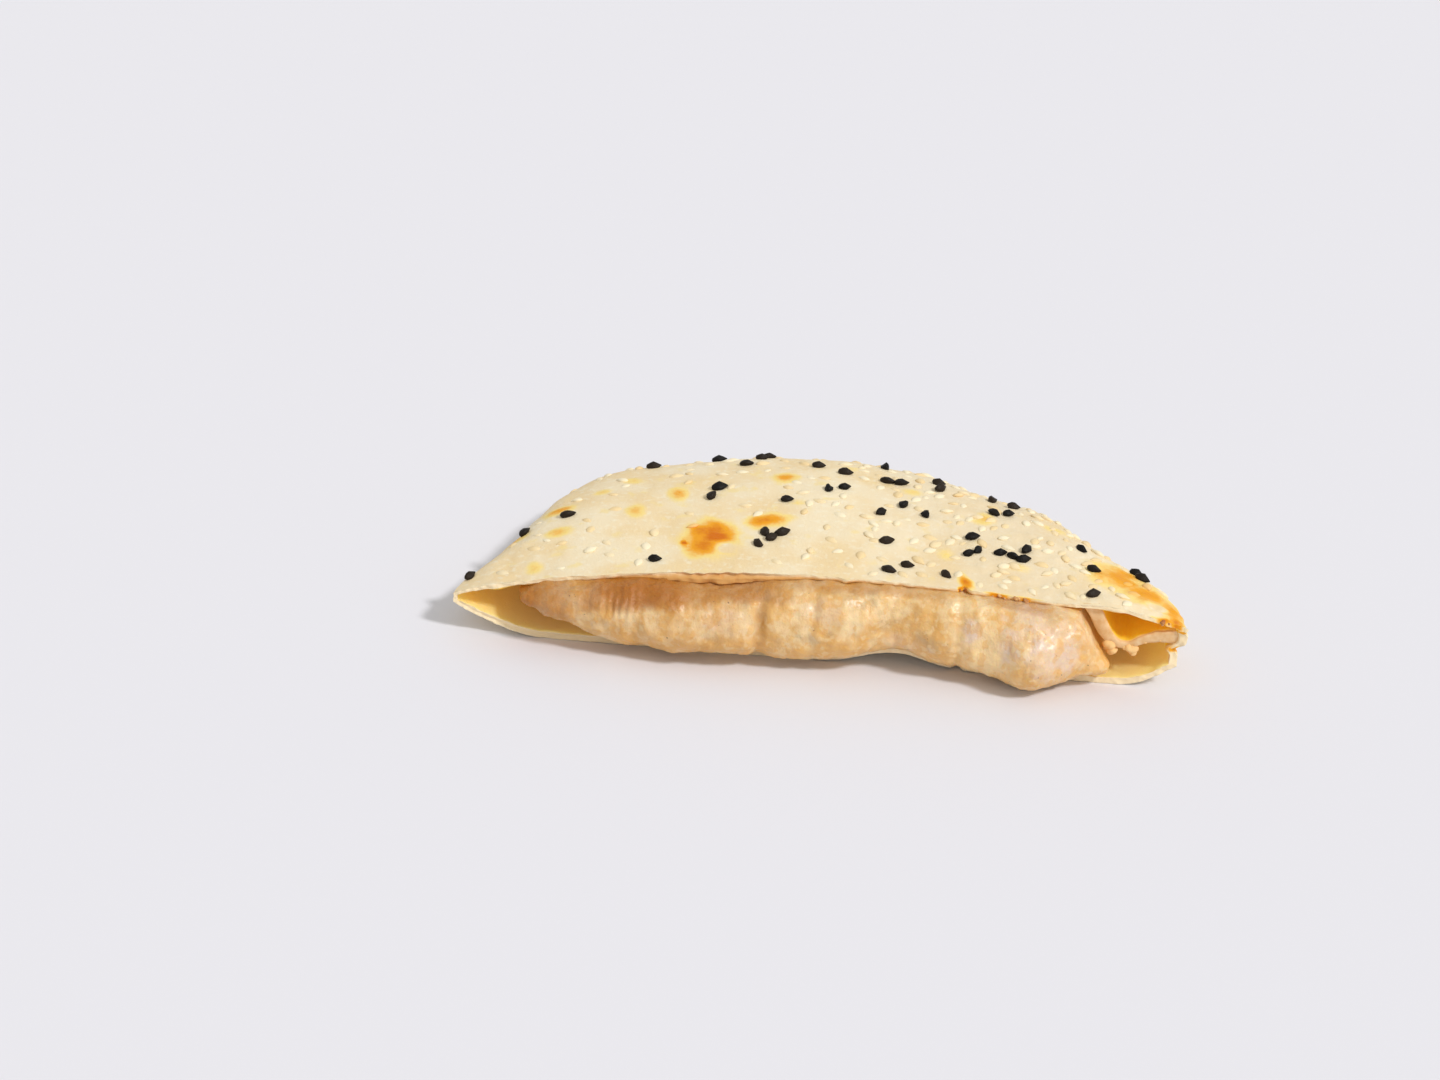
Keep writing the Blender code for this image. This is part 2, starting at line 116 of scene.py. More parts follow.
way = Vector((math.sin(KEY_TURN), -math.cos(KEY_TURN), 0.0)) * math.cos(KEY_RISE)
way.z = math.sin(KEY_RISE)
lamp = placed("key", bpy.data.lights.new("key", "SUN"))
lamp.data.energy = KEY_STRENGTH
lamp.data.angle = KEY_SPREAD
lamp.data.color = KEY_COLOUR
lamp.matrix_world = Matrix.Translation(way) @ way.to_track_quat("Z", "Y").to_matrix().to_4x4()

world = bpy.data.worlds.new("studio")
world.use_nodes = True
sky = world.node_tree.nodes["Background"].inputs
sky["Color"].default_value = SKY_COLOUR
sky["Strength"].default_value = SKY_STRENGTH
bpy.context.scene.world = world
bpy.context.scene.view_settings.view_transform = "Standard"
print("the lamp shines from", [round(v, 2) for v in way])

# %% Floor
FLOOR_SIZE = 3.0
FLOOR_COLOUR = (0.80, 0.795, 0.85, 1.0)
FLOOR_DROP = 0.00005
FLOOR_ROUGHNESS = 0.8

sheet = bmesh.new()
bmesh.ops.create_grid(sheet, x_segments=1, y_segments=1, size=FLOOR_SIZE)
bmesh.ops.translate(sheet, verts=sheet.verts, vec=(0.0, 0.0, -FLOOR_DROP))
floor_mesh = bpy.data.meshes.new("floor")
sheet.to_mesh(floor_mesh)
sheet.free()
floor = placed("floor", floor_mesh)
pale = bpy.data.materials.new("pale floor")
pale.use_nodes = True
surface = pale.node_tree.nodes["Principled BSDF"].inputs
surface["Base Color"].default_value = FLOOR_COLOUR
surface["Roughness"].default_value = FLOOR_ROUGHNESS
floor_mesh.materials.append(pale)
print("the floor is", 2 * FLOOR_SIZE, "metres square")

# %% [markdown]
# # The form of the half
# The same rules shaped the solids: a half round outline that is pinched near both corners, a top sheet that
# falls from the cut to the rim, and a flat base whose corners curl up. They are written again here because
# the finer meshes are laid out by them. They work in millimetres from the middle of the cut's lower edge.

# %% Outline of the half
HALF_CHORD = 75.0
DEPTH = 71.7
LEFT_PINCH = (0.46, -54.0, -73.0)
LEFT_SHOULDER = (0.075, -46.0, 9.0)
RIGHT_PINCH = (0.15, 60.0, 9.0)
RIGHT_DIP = (0.06, 34.0, 12.0)
RIM_WAVE = (0.004, 0.33)


def ramp(start, end, x):
    """0 before start, 1 after end, smooth between them."""
    t = min(max((x - start) / (end - start), 0.0), 1.0)
    return t * t * (3.0 - 2.0 * t)


def hill(x, shape):
    """A smooth rise along X, given as its height, its middle and its half width."""
    height, middle, width = shape
    return height * math.exp(-(((x - middle) / width) ** 2))


def rim_depth(x):
    """How far the rim lies behind the cut: a half round, pinched near both corners."""
    pinch, *pinch_span = LEFT_PINCH
    wave, rate = RIM_WAVE
    half_round = math.sqrt(max(0.0, 1.0 - (x / HALF_CHORD) ** 2))
    left = pinch * ramp(*pinch_span, x) - hill(x, LEFT_SHOULDER)
    shrink = left + hill(x, RIGHT_PINCH) + hill(x, RIGHT_DIP)
    return DEPTH * half_round * (1.0 - shrink + wave * math.sin(rate * x))


print("the rim lies", round(rim_depth(0.0), 1), "mm behind the middle of the cut")

# %% Heights at the rim and at the cut
PEAK_X = 5.0
PEAK_HEIGHT = 19.7
REAR_RIM_HEIGHT = 4.8
RIM_CLIMB_POWER = 10
LEFT_TIP_HEIGHT = 7.9
LEFT_TIP_THICKNESS = 2.2
RIGHT_TIP_TOP = 14.2
RIGHT_TIP_BOTTOM = 5.3
CUT_CURVE_POWER = 1.8
CUT_CURVE_FULLNESS = 0.8


def rim_height(x):
    """The height of the rim's outermost line, which climbs to both corners."""
    tip = (RIGHT_TIP_TOP + RIGHT_TIP_BOTTOM) / 2.0 if x > 0.0 else LEFT_TIP_HEIGHT
    return REAR_RIM_HEIGHT + (tip - REAR_RIM_HEIGHT) * abs(x / HALF_CHORD) ** RIM_CLIMB_POWER


def cut_top(x):
    """The outer edge of the top sheet along the cut, before its corner is lifted."""
    low = RIGHT_TIP_TOP if x > PEAK_X else LEFT_TIP_HEIGHT + LEFT_TIP_THICKNESS / 2.0
    run = (x - PEAK_X) / (HALF_CHORD - PEAK_X) if x > PEAK_X else (PEAK_X - x) / (PEAK_X + HALF_CHORD)
    return low + (PEAK_HEIGHT - low) * max(0.0, 1.0 - run**CUT_CURVE_POWER) ** CUT_CURVE_FULLNESS


print("the cut is", round(cut_top(PEAK_X), 1), "mm high at its peak")

# %% Underside
END_INSET = 0.12
LEFT_CURL_START = -56.0
RIGHT_CURL_START = 62.0
CURL_POWER = 1.6
ARCH = (3.2, 16.0, 9.0)
ARCH_REACH = 34.0
FLAT_SHARE = 0.74


def base_height(x, y):
    """The underside: flat, curled up at both corners and arched a little at the cut."""
    left_run = max(0.0, (LEFT_CURL_START - x) / (HALF_CHORD + LEFT_CURL_START))
    right_run = max(0.0, (x - RIGHT_CURL_START) / (HALF_CHORD - RIGHT_CURL_START))
    left = (LEFT_TIP_HEIGHT - LEFT_TIP_THICKNESS / 2.0) * left_run**CURL_POWER
    right_curl = RIGHT_TIP_BOTTOM * right_run**CURL_POWER
    return left + right_curl + hill(x, ARCH) * (1.0 - ramp(0.0, ARCH_REACH, y))


def way_back(y, depth):
    """The share of the way from the cut back to the rim."""
    return min(max(y, 0.0) / max(depth, END_INSET), 1.0)


def bottom_face(x, y, depth, thick=0.0):
    """The bottom sheet's outer face, or its inner face when thick is its thickness."""
    share = way_back(y, depth)
    turn = max(0.0, (share - FLAT_SHARE) / (1.0 - FLAT_SHARE))
    rim = rim_height(x)
    return rim - (rim - thick - base_height(x, y)) * math.sqrt(1.0 - turn * turn)


print("the underside arches up by", round(base_height(ARCH[1], 0.0), 1), "mm at the cut")

# %% Top sheet
DOME_RISE = 1.0
DIMPLE = (0.35, 0.13, 5.0)
FALL_POWER = 4.6
FALL_POWER_LOST_AT_CORNERS = 3.0
CORNER_POWER = 4
FALL_FULLNESS = 0.62
FLAP = (1.2, 60.0, 8.0)
FLAP_REACH = 12.0


def dome(x, share):
    """What the top sheet rises behind the cut, share of the way back to the rim."""
    height, rate, turn = DIMPLE
    rise_here = DOME_RISE * math.sin(math.pi * share) ** 2 * (1.0 - (x / HALF_CHORD) ** 2)
    return rise_here + height * math.sin(rate * x + turn * share) * math.sin(math.pi * share)


def top_face(x, y, depth, thick=0.0):
    """The top sheet's outer face, or its inner face when thick is its thickness."""
    share = way_back(y, depth)
    power = FALL_POWER - FALL_POWER_LOST_AT_CORNERS * abs(x / HALF_CHORD) ** CORNER_POWER
    fall = max(0.0, 1.0 - share**power) ** FALL_FULLNESS
    rim = rim_height(x)
    flap = hill(x, FLAP) * (1.0 - ramp(0.0, FLAP_REACH, y))
    return rim + (cut_top(x) - thick - rim + dome(x, share) + flap) * fall


print("the top sheet is", round(top_face(0.0, 0.0, rim_depth(0.0)), 1), "mm high at the middle of the cut")

# %% [markdown]
# # A tube along the half
# Each large piece here is one closed tube along the cut, so that every seam is shut and faces stay square.
# It could be built from sections bridged one by one. Here a cylinder is subdivided along its length and each
# of its points is then put in its place by a rule, which gives the same quads with two operators. The rule
# also says which part of the piece a point belongs to, and that is kept as an attribute for the finish.
# Points that fall together at a thin end are merged, and two faces left back to back there are deleted. The
# bumps on the pieces come from Blender's smooth noise, read at a point and given a height and a size.

# %% Tube helper
WELD = 0.004
SLIVER = 0.002


def flaps(shape):
    """Faces that lie back to back on the same points, which closing a thin end can leave behind."""
    corners = {}
    for face in shape.faces:
        corners.setdefault(frozenset(face.verts), []).append(face)
    return [face for same in corners.values() if len(same) > 1 for face in same]


def tube(along, around, place, marks):
    """A closed tube along X. place(u, step) gives a point in millimetres and its value for each mark."""
    shape = bmesh.new()
    bmesh.ops.create_cone(shape, cap_ends=True, segments=around, radius1=1.0, radius2=1.0, depth=1.0)
    long_edges = [edge for edge in shape.edges if abs(edge.verts[0].co.z - edge.verts[1].co.z) > 0.5]
    bmesh.ops.subdivide_edges(shape, edges=long_edges, cuts=along - 1, use_grid_fill=True)
    layers = [shape.verts.layers.float.new(mark) for mark in marks]
    for vert in shape.verts:
        turn = math.atan2(vert.co.y, vert.co.x) / math.tau
        point, values = place(vert.co.z + 0.5, round(turn * around) % around)
        vert.co = Vector(point)
        for layer, value in zip(layers, values):
            vert[layer] = value
    bmesh.ops.remove_doubles(shape, verts=shape.verts, dist=WELD)
    bmesh.ops.dissolve_degenerate(shape, edges=shape.edges, dist=SLIVER)
    caps = [face for face in shape.faces if len(face.verts) > 4]
    bmesh.ops.triangulate(shape, faces=caps, quad_method="BEAUTY", ngon_method="BEAUTY")
    bmesh.ops.delete(shape, geom=flaps(shape), context="FACES")
    bmesh.ops.recalc_face_normals(shape, faces=shape.faces)
    shape.normal_update()
    return shape


print("points of a tube that are nearer than", WELD, "mm are merged")

# %% Bumps from noise


def grain(point, size, offset=0.0):
    """Smooth random hills and hollows about size millimetres apart, from about -1 to 1."""
    return noise.noise(Vector((point[0] + offset, point[1] - offset, point[2])) / size)


def bumps(point, form, offset=0.0):
    """Hills and hollows given as their height and their size."""
    height, size = form
    return height * grain(point, size, offset)


def layered(point, forms, apart=0.0):
    """Bumps of several sizes together. Apart moves each along the noise by so many of its own size."""
    return sum(bumps(point, form, apart * form[1]) for form in forms)


print("the noise at one place is", round(grain((HALF_CHORD, DEPTH, PEAK_HEIGHT), DEPTH), 2))

# %% From a shape to an object


def round_off(shape, verts):
    """Smooths some points across the cut, so that an edge there loses its sharpness."""
    for turn in range(2):
        bmesh.ops.smooth_vert(shape, verts=verts, factor=0.5, use_axis_y=True, use_axis_z=True)


def edge_uses(mesh):
    """How many faces meet at each edge, which is two everywhere on a closed mesh."""
    uses = [0] * len(mesh.edges)
    for loop in mesh.loops:
        uses[loop.edge_index] += 1
    return uses


def finished(name, shape):
    """Moves a shape made in millimetres from the cut to its place in the frame, as a smooth object."""
    shape.transform(Matrix.Diagonal((MM, MM, MM, 1.0)) @ Matrix.Translation((0.0, CUT_Y, 0.0)))
    mesh = bpy.data.meshes.new(name)
    shape.to_mesh(mesh)
    shape.free()
    mesh.shade_smooth()
    made = placed(name, mesh)
    open_edges = sum(1 for count in edge_uses(mesh) if count != 2)
    print(name, "has", len(mesh.polygons), "faces and", open_edges, "open edges")
    return made


print("shapes are made in millimetres and shrunk to", MM, "of that in metres")

# %% [markdown]
# # The crust
# On the real half the crust is one skin of dough: over the top, round the rim, back underneath, and in again
# over the cut edges to line the pocket that holds the paste. A Boolean of two blocks could give that form,
# but its edges at the cut would be knife sharp. So the tube's section is drawn as that whole path, with small
# steps at the two lips of the cut, where the dough is torn and crumbly.

# %% Pocket between the sheets
TOP_SHEET = 1.9
CORNER_SHEET = 1.2
CORNER_SHEET_SPAN = (48.0, 60.0)
BOTTOM_SHEET = 1.6
THIN_SHARE = 0.8
LIP_THICKNESS = 0.95
LIP_TAPER = 6.0
SECOND_LIP_THICKNESS = (1.45, -21.0, 12.0)
HOLLOW_LEFT = -74.1
HOLLOW_RIGHT = 73.2
REAR_WALL = 5.0


def pocket_depth(x):
    """How far back the hollow between the sheets reaches."""
    end = HOLLOW_LEFT if x < 0.0 else HOLLOW_RIGHT
    scaled = min(1.0, x / end) * math.copysign(HALF_CHORD, x)
    return rim_depth(scaled) * (1.0 - REAR_WALL / HALF_CHORD)


def top_thickness(x, y):
    """The top sheet's thickness, less at the right corner, at both tips and at the lip of the cut."""
    inner = TOP_SHEET - (TOP_SHEET - CORNER_SHEET) * ramp(*CORNER_SHEET_SPAN, x)
    lip = LIP_THICKNESS + hill(x, SECOND_LIP_THICKNESS)
    thick = lip + (inner - lip) * ramp(0.0, LIP_TAPER, y)
    return min(thick, THIN_SHARE * (cut_top(x) - rim_height(x)))


def bottom_thickness(x):
    """The bottom sheet's thickness, less at both tips."""
    return min(BOTTOM_SHEET, THIN_SHARE * (rim_height(x) - base_height(x, 0.0)))


def ceiling(x, y, depth):
    """The underside of the top sheet."""
    return top_face(x, y, depth, top_thickness(x, y))


def pocket_floor(x, y, depth):
    """The upper side of the bottom sheet."""
    return bottom_face(x, y, depth, bottom_thickness(x))


print("the pocket is", round(pocket_depth(0.0), 1), "mm deep")

# %% Section of the crust
CRUST_SECTION = (
    ("top", 108), ("under", 40), ("lower lip", 10), ("floor", 16), ("ceiling", 26), ("upper lip", 14),
)
RIGHT_TUCK = 1.5
TUCK_FROM = 64.0
TUCK_ABOVE = 11.0
TUCK_BELOW = 8.0


def section_part(step):
    """The part of the section that a step lies in, and the share of the way along that part."""
    for part, steps in CRUST_SECTION:
        if step < steps:
            return part, step / steps
        step -= steps
    raise ValueError("the section has fewer steps")


def spaced(u, start, end):
    """Places that crowd towards both ends of a run."""
    return start + (end - start) * (1.0 - math.cos(math.pi * u)) / 2.0


def tucked(x, z):
    """Draws the right end in below its tip, where the bottom sheet stops short."""
    return x - RIGHT_TUCK * ramp(TUCK_FROM, HALF_CHORD, x) * ramp(TUCK_ABOVE, TUCK_BELOW, z)


crust_around = sum(steps for part, steps in CRUST_SECTION)
print("the crust's section has", crust_around, "steps")

# %% Crust
CRUST_ALONG = 400
CRUST_END = 0.02
END_WALL_FROM = 1.5
FLOOR_DEEP = 0.5
PALE_LIP = 0.22
BARE_FROM = (-52.0, -40.0)
BARE_TO = (54.0, 44.0)
BARE_SECOND_LIP = (0.75, -22.0, 13.0)
BARE_SECOND_LIP_FADE = 0.6


def wall_share(inner):
    """1 where the hollow has ended and its lining is the wall that closes the end."""
    return 1.0 - ramp(0.0, END_WALL_FROM, inner)


def crust_point(u, step):
    """A point of the crust, how much it is crumb, how deep in the pocket it is and how bare its crumb is."""
    x = spaced(u, -HALF_CHORD + CRUST_END, HALF_CHORD - CRUST_END)
    part, share = section_part(step)
    outer, inner = rim_depth(x), pocket_depth(x)
    crumb, pocket, bare, y = 0.0, 0.0, PALE_LIP, 0.0
    if part == "top":
        y = spaced(share, 0.0, outer)
        z = top_face(x, y, outer)
    elif part == "under":
        y = spaced(1.0 - share, 0.0, outer)
        z = bottom_face(x, y, outer)
    elif part == "floor":
        wall, low = wall_share(inner), pocket_floor(x, 0.0, inner)
        y, pocket, crumb = spaced(share, 0.0, inner), FLOOR_DEEP * (1.0 - wall), wall
        z = pocket_floor(x, y, inner)
        z += (low + (rim_height(x) - low) * share - z) * wall
    elif part == "ceiling":
        wall, high = wall_share(inner), ceiling(x, 0.0, inner)
        y, pocket, crumb = spaced(1.0 - share, 0.0, inner), 1.0 - wall, wall
        z = ceiling(x, y, inner)
        z += (rim_height(x) + (high - rim_height(x)) * share - z) * wall
    elif part == "lower lip":
        low, high = bottom_face(x, 0.0, outer), pocket_floor(x, 0.0, inner)
        z, crumb = low + (high - low) * share, 1.0
    else:
        low, high = ceiling(x, 0.0, inner), top_face(x, 0.0, outer)
        z, crumb = low + (high - low) * share, 1.0
        middle = ramp(*BARE_FROM, x) * ramp(*BARE_TO, x)
        second_lip = hill(x, BARE_SECOND_LIP) * (1.0 - BARE_SECOND_LIP_FADE * share)
        bare = PALE_LIP + (1.0 - share - PALE_LIP) * middle + second_lip
    return (tucked(x, z), y, z), (crumb, pocket, bare)


crust_shape = tube(CRUST_ALONG, crust_around, crust_point, ("crumb", "pocket", "bare"))
print("the crust starts with", len(crust_shape.verts), "points")

# %% [markdown]
# # The torn lips
# A knife tears bread as much as it cuts it. The lips wander a little to and fro, most where they are crumbly.
# Left of the middle the top sheet split in two, so a second lip stands out under the first. There is a nick,
# a flake, a split in the lower lip, and the right end is folded in twice. Loops of edges could be pulled one
# by one, but each of these has a place and a width along the cut, so a smooth hill there is added instead.
# A name that ends in AT is where a pattern is read in the noise, so that no two patterns are alike.

# %% Wander of the lips
BETWEEN_LIPS = PEAK_HEIGHT / 2.0
WANDER = ((0.34, 6.5), (0.20, 2.1), (0.12, 0.9))
CRUMBLY = (1.0, -24.0, 13.0)
CRUMBLY_WANDER = (0.55, 1.7)
CRUMBLY_AT = 5.0
NICK = (1.5, 28.8, 0.85)
FLAKE = (0.8, 4.5, 1.0)
TIP_CRINKLE = (0.45, 1.9)
TIP_CRINKLE_AT = 9.0
TIP_CRINKLE_FROM = (63.0, 72.0)


def lip_wander(x, z):
    """How far the torn edge wanders back from the straight cut, or stands out when negative."""
    back_by = layered((x, 0.0, z), WANDER, apart=1.0)
    back_by += hill(x, CRUMBLY) * bumps((x, CRUMBLY_AT, z), CRUMBLY_WANDER)
    back_by += ramp(*TIP_CRINKLE_FROM, x) * bumps((x, TIP_CRINKLE_AT, z), TIP_CRINKLE)
    return back_by + hill(x, NICK) - hill(x, FLAKE) * (1.0 if z > BETWEEN_LIPS else 0.0)


print("the lips wander by up to", round(sum(height for height, size in WANDER), 2), "mm")

# %% Folds of the right end
TIP_FOLDS = ((9.1, 0.9, 1.4, 0.62), (13.2, 0.45, 0.5, 0.50))
TIP_FOLDS_FROM = (69.0, 73.0)


def tip_folds(x, z):
    """How deep the right end is folded in at a height, and how brown the folds are."""
    share = ramp(*TIP_FOLDS_FROM, x)
    folds = [(hill(z, (share, height, half)), depth, brown) for height, half, depth, brown in TIP_FOLDS]
    inward = sum(near * depth for near, depth, brown in folds)
    return inward, max(near * brown for near, depth, brown in folds)


print("the right end is folded in", len(TIP_FOLDS), "times")

# %% Tear the lips
CRUMB_FROM = 0.5
LIP_REACH = 3.0
SECOND_LIP = (1.5, -21.0, 11.0)
SECOND_LIP_SPAN = (0.55, 1.0)
SECOND_LIP_SET_BACK = 0.45
SPLIT = (0.5, -58.0, 13.0)
SPLIT_HALF = 0.35


def tear_lips(shape):
    """Rounds the lips, then lets them wander, with a second lip under the top edge at the left."""
    crumb = shape.verts.layers.float["crumb"]
    round_off(shape, [vert for vert in shape.verts if vert[crumb] > CRUMB_FROM])
    for vert in shape.verts:
        x, y, z = vert.co
        vert.co.x -= tip_folds(x, z)[0]
        if y > LIP_REACH:
            continue
        fade = 1.0 - ramp(0.0, LIP_REACH, y)
        y += lip_wander(x, z) * fade
        if vert[crumb] > CRUMB_FROM and z > BETWEEN_LIPS:
            below = top_face(x, 0.0, rim_depth(x)) - z
            y -= hill(x, SECOND_LIP) * (ramp(*SECOND_LIP_SPAN, below) - SECOND_LIP_SET_BACK)
        if vert[crumb] > CRUMB_FROM and z < BETWEEN_LIPS:
            middle = bottom_face(x, 0.0, rim_depth(x)) + BOTTOM_SHEET / 2.0
            y += hill(x, SPLIT) * hill(z, (1.0, middle, SPLIT_HALF))
        vert.co.y = y
    shape.normal_update()


tear_lips(crust_shape)
print("the second lip stands out by up to", round(SECOND_LIP[0] * (1.0 - SECOND_LIP_SET_BACK), 2), "mm")

# %% [markdown]
# # Blisters and dimples
# Steam lifts a baked sheet into low blisters, and the blisters brown first because they are nearest to the
# heat. So one list of browned places serves twice: it lifts the skin a little, and it paints a value on the
# points that the finish turns into brown. Each is an oval on the top sheet, given by where it is, its half
# sizes, its turn and how brown it is, and a few pale ovals are left out of the brown. Noise makes their edges
# ragged. Finer relief comes from noise of several sizes, pushed along the surface's own normals, and only
# inwards underneath, so that the base stays flat.

# %% Browned places
BROWNED = (
    # The big blister left of the middle, with a dark dot beside it.
    (-22.6, 15.6, 5.4, 4.6, 0, 0.92), (-23.4, 17.6, 6.2, 6.0, 0, 0.82), (-25.0, 11.8, 5.2, 6.6, -10, 0.68),
    (-23.8, 14.6, 7.8, 9.6, 8, 0.50), (-28.9, 12.8, 1.2, 1.6, 0, 1.0),
    # Smaller ones behind it.
    (-12.2, 22.2, 5.8, 3.3, 12, 0.68), (-9.0, 42.0, 3.6, 3.8, 0, 0.52), (-31.0, 35.0, 2.8, 4.4, 0, 0.44),
    (-39.5, 27.0, 2.8, 4.2, 0, 0.40),
    # The left corner.
    (-55.0, 18.5, 4.0, 2.6, 20, 0.40), (-55.5, 30.0, 4.4, 3.0, 25, 0.50), (-64.0, 21.0, 3.8, 2.8, 35, 0.42),
    (-59.0, 5.0, 2.4, 3.8, 0, 0.28),
    # A blister that the knife cut through, and the edge to the right of it.
    (28.9, 3.2, 1.7, 4.0, 14, 0.72), (28.2, 0.2, 1.0, 1.2, 0, 1.0), (35.8, 0.0, 3.0, 0.9, 0, 0.82),
    (41.5, 0.0, 4.4, 0.7, 0, 0.46),
    # The right corner.
    (61.0, 15.5, 8.6, 7.6, -35, 0.56), (62.6, 19.4, 7.0, 5.4, -25, 0.50), (66.5, 11.0, 7.4, 8.0, -35, 0.54),
    (72.0, 6.5, 5.4, 9.5, 0, 0.52), (72.5, 1.0, 2.4, 4.0, 0, 0.66), (70.0, 0.5, 3.2, 1.2, 0, 0.66),
    # Faint ones all over.
    (33.0, 31.0, 3.0, 3.8, 0, 0.34), (25.0, 14.0, 2.6, 3.2, 0, 0.22), (-41.0, 44.0, 2.8, 2.6, 0, 0.30),
    (-6.0, 30.0, 3.0, 1.8, 0, 0.24), (48.0, 33.0, 3.4, 3.0, 0, 0.24), (5.0, 52.0, 3.6, 2.2, 0, 0.22),
    (18.0, 41.0, 3.4, 2.6, 0, 0.26), (-47.0, 38.0, 3.0, 2.0, 30, 0.30), (40.0, 12.0, 4.0, 2.4, 0, 0.18),
)
UNBROWNED = ((-20.2, 10.8, 2.4, 2.4), (66.0, 2.6, 4.6, 1.8), (68.6, 5.2, 2.4, 2.0))

print(len(BROWNED), "browned places, with", len(UNBROWNED), "pale ones in them")

# %% How brown a place is
BROWN_REACH = 12.0
BROWN_FADE = (-0.1, 1.3)
UNBROWNED_FADE = (0.5, 1.2)
RAGGED = ((0.20, 3.2), (0.08, 0.9))
RAGGED_UPRIGHT = 2.0


def oval(x, y, place, sizes, degrees):
    """0 at the middle of an oval, 1 at its edge, more outside it."""
    turn = math.radians(degrees)
    along, over = x - place[0], y - place[1]
    first = (along * math.cos(turn) + over * math.sin(turn)) / sizes[0]
    second = (over * math.cos(turn) - along * math.sin(turn)) / sizes[1]
    return math.hypot(first, second)


def browned(x, y, z=0.0):
    """How brown the top sheet is: 0 is pale cream, 1 is burnt."""
    ragged = layered((x, y, RAGGED_UPRIGHT * z), RAGGED)
    most = 0.0
    for mx, my, half_x, half_y, degrees, strength in BROWNED:
        if abs(x - mx) < BROWN_REACH and abs(y - my) < BROWN_REACH:
            far = oval(x, y, (mx, my), (half_x, half_y), degrees) + ragged
            most = max(most, strength * (1.0 - ramp(*BROWN_FADE, far)))
    for mx, my, half_x, half_y in UNBROWNED:
        most *= ramp(*UNBROWNED_FADE, oval(x, y, (mx, my), (half_x, half_y), 0.0) + ragged)
    return most


print("the first blister's browning is", round(browned(*BROWNED[0][:2]), 2), "of 1")

# %% Relief of the skin
SWELL = ((0.34, 17.0), (0.17, 6.5), (0.07, 2.4))
SWELL_UPRIGHT = 0.5
LUMPY = (0.26, 2.7)
LUMPY_FROM = (-8.0, 35.0)
LUMPY_AT = 30.0
CRINKLE = (0.32, 2.4)
CRINKLE_SPAN = (62.0, 71.0)
LEFT_CRINKLE = (0.22, 3.0)
LEFT_CRINKLE_SPAN = (-48.0, -66.0)
BLISTER_RISE = 0.28


def relief(x, y, z):
    """How far the outer skin stands out from its plain form."""
    swell = layered((x, y, SWELL_UPRIGHT * z), SWELL, apart=2.0)
    crinkled = ramp(*CRINKLE_SPAN, x) * bumps((x, y, z), CRINKLE)
    left = ramp(*LEFT_CRINKLE_SPAN, x) * bumps((x, y, z), LEFT_CRINKLE)
    lumpy = ramp(*LUMPY_FROM, x) * bumps((x, y, z), LUMPY, LUMPY_AT)
    return swell + crinkled + left + lumpy + BLISTER_RISE * browned(x, y) * ramp(0.0, LIP_REACH, y)


print("the skin at the first blister stands out by", round(relief(*BROWNED[0][:2], PEAK_HEIGHT), 2), "mm")

# %% Raise and paint the skin
RIM_FADE = (-0.5, 0.5)
TIP_RIM = (12.9, 14.0)
POCKET_BUMPS = (0.35, 3.2)
LIP_BUMPS = ((0.16, 0.8), (0.12, 1.9))
UNDER_SHARE = 0.3
UNDER_FACING = -0.3
INSIDE_FROM = 0.25
LINED_FROM = 0.2
GROUND = 0.0


def skin_toast(x, y, z, crumb, hidden):
    """How brown a point of the crust is painted."""
    if hidden:
        return 0.0
    toast = browned(x, y, z if crumb > CRUMB_FROM else 0.0)
    if crumb > CRUMB_FROM:
        toast *= ramp(*RIM_FADE, z - rim_height(x))
        share = ramp(*TIP_FOLDS_FROM, x)
        kept = max(toast * ramp(*TIP_RIM, z), tip_folds(x, z)[1])
        toast += (kept - toast) * share
    return toast


def raise_skin(shape):
    """Adds the relief along each normal and paints how brown each point is."""
    crumb, pocket = shape.verts.layers.float["crumb"], shape.verts.layers.float["pocket"]
    toast = shape.verts.layers.float.new("toast")
    moves = []
    for vert in shape.verts:
        x, y, z = vert.co
        inside = vert[pocket] > INSIDE_FROM
        away = bumps((x, y, z), POCKET_BUMPS) if inside else relief(x, y, z)
        if vert[crumb] > CRUMB_FROM:
            away = layered((x, y, z), LIP_BUMPS)
        under = vert.normal.z < UNDER_FACING and not inside
        moves.append(vert.normal * (-UNDER_SHARE * abs(away) if under else away))
        vert[toast] = skin_toast(x, y, z, vert[crumb], under or inside)
    for vert, move in zip(shape.verts, moves):
        vert.co += move
        vert.co.z = max(vert.co.z, GROUND)
    shape.normal_update()


def line_pocket(shape):
    """Gives the faces inside the pocket the second material, whose dough is thin and lets light through."""
    pocket = shape.verts.layers.float["pocket"]
    for face in shape.faces:
        face.material_index = 1 if min(vert[pocket] for vert in face.verts) > LINED_FROM else 0


raise_skin(crust_shape)
line_pocket(crust_shape)
crust = finished("crust", crust_shape)

# %% [markdown]
# # The inner ply
# Across the right corner of the cut hangs a thin inner layer of dough that came away from the top sheet when
# the bread was cut. It comes down steeply beside the paste, turns and climbs a little to the right end. A
# plane with Solidify could make it, but it is thicker at both ends, so it is a second tube, flat in section,
# whose ends are sunk in the sheets so that no gap shows.

# %% Line of the ply
PLY_LINE = (
    (53.0, 18.6), (55.5, 15.0), (57.0, 12.2), (58.8, 10.0), (61.0, 8.9),
    (63.5, 8.7), (66.2, 10.4), (69.0, 11.3), (73.6, 11.7),
)
PLY_THICKNESS = 1.5
PLY_THICK_END = 3.2
PLY_THICK_FROM = (64.5, 73.0)
PLY_MEAN_STEP = 0.4
PLY_MEAN_STEPS = range(-2, 3)


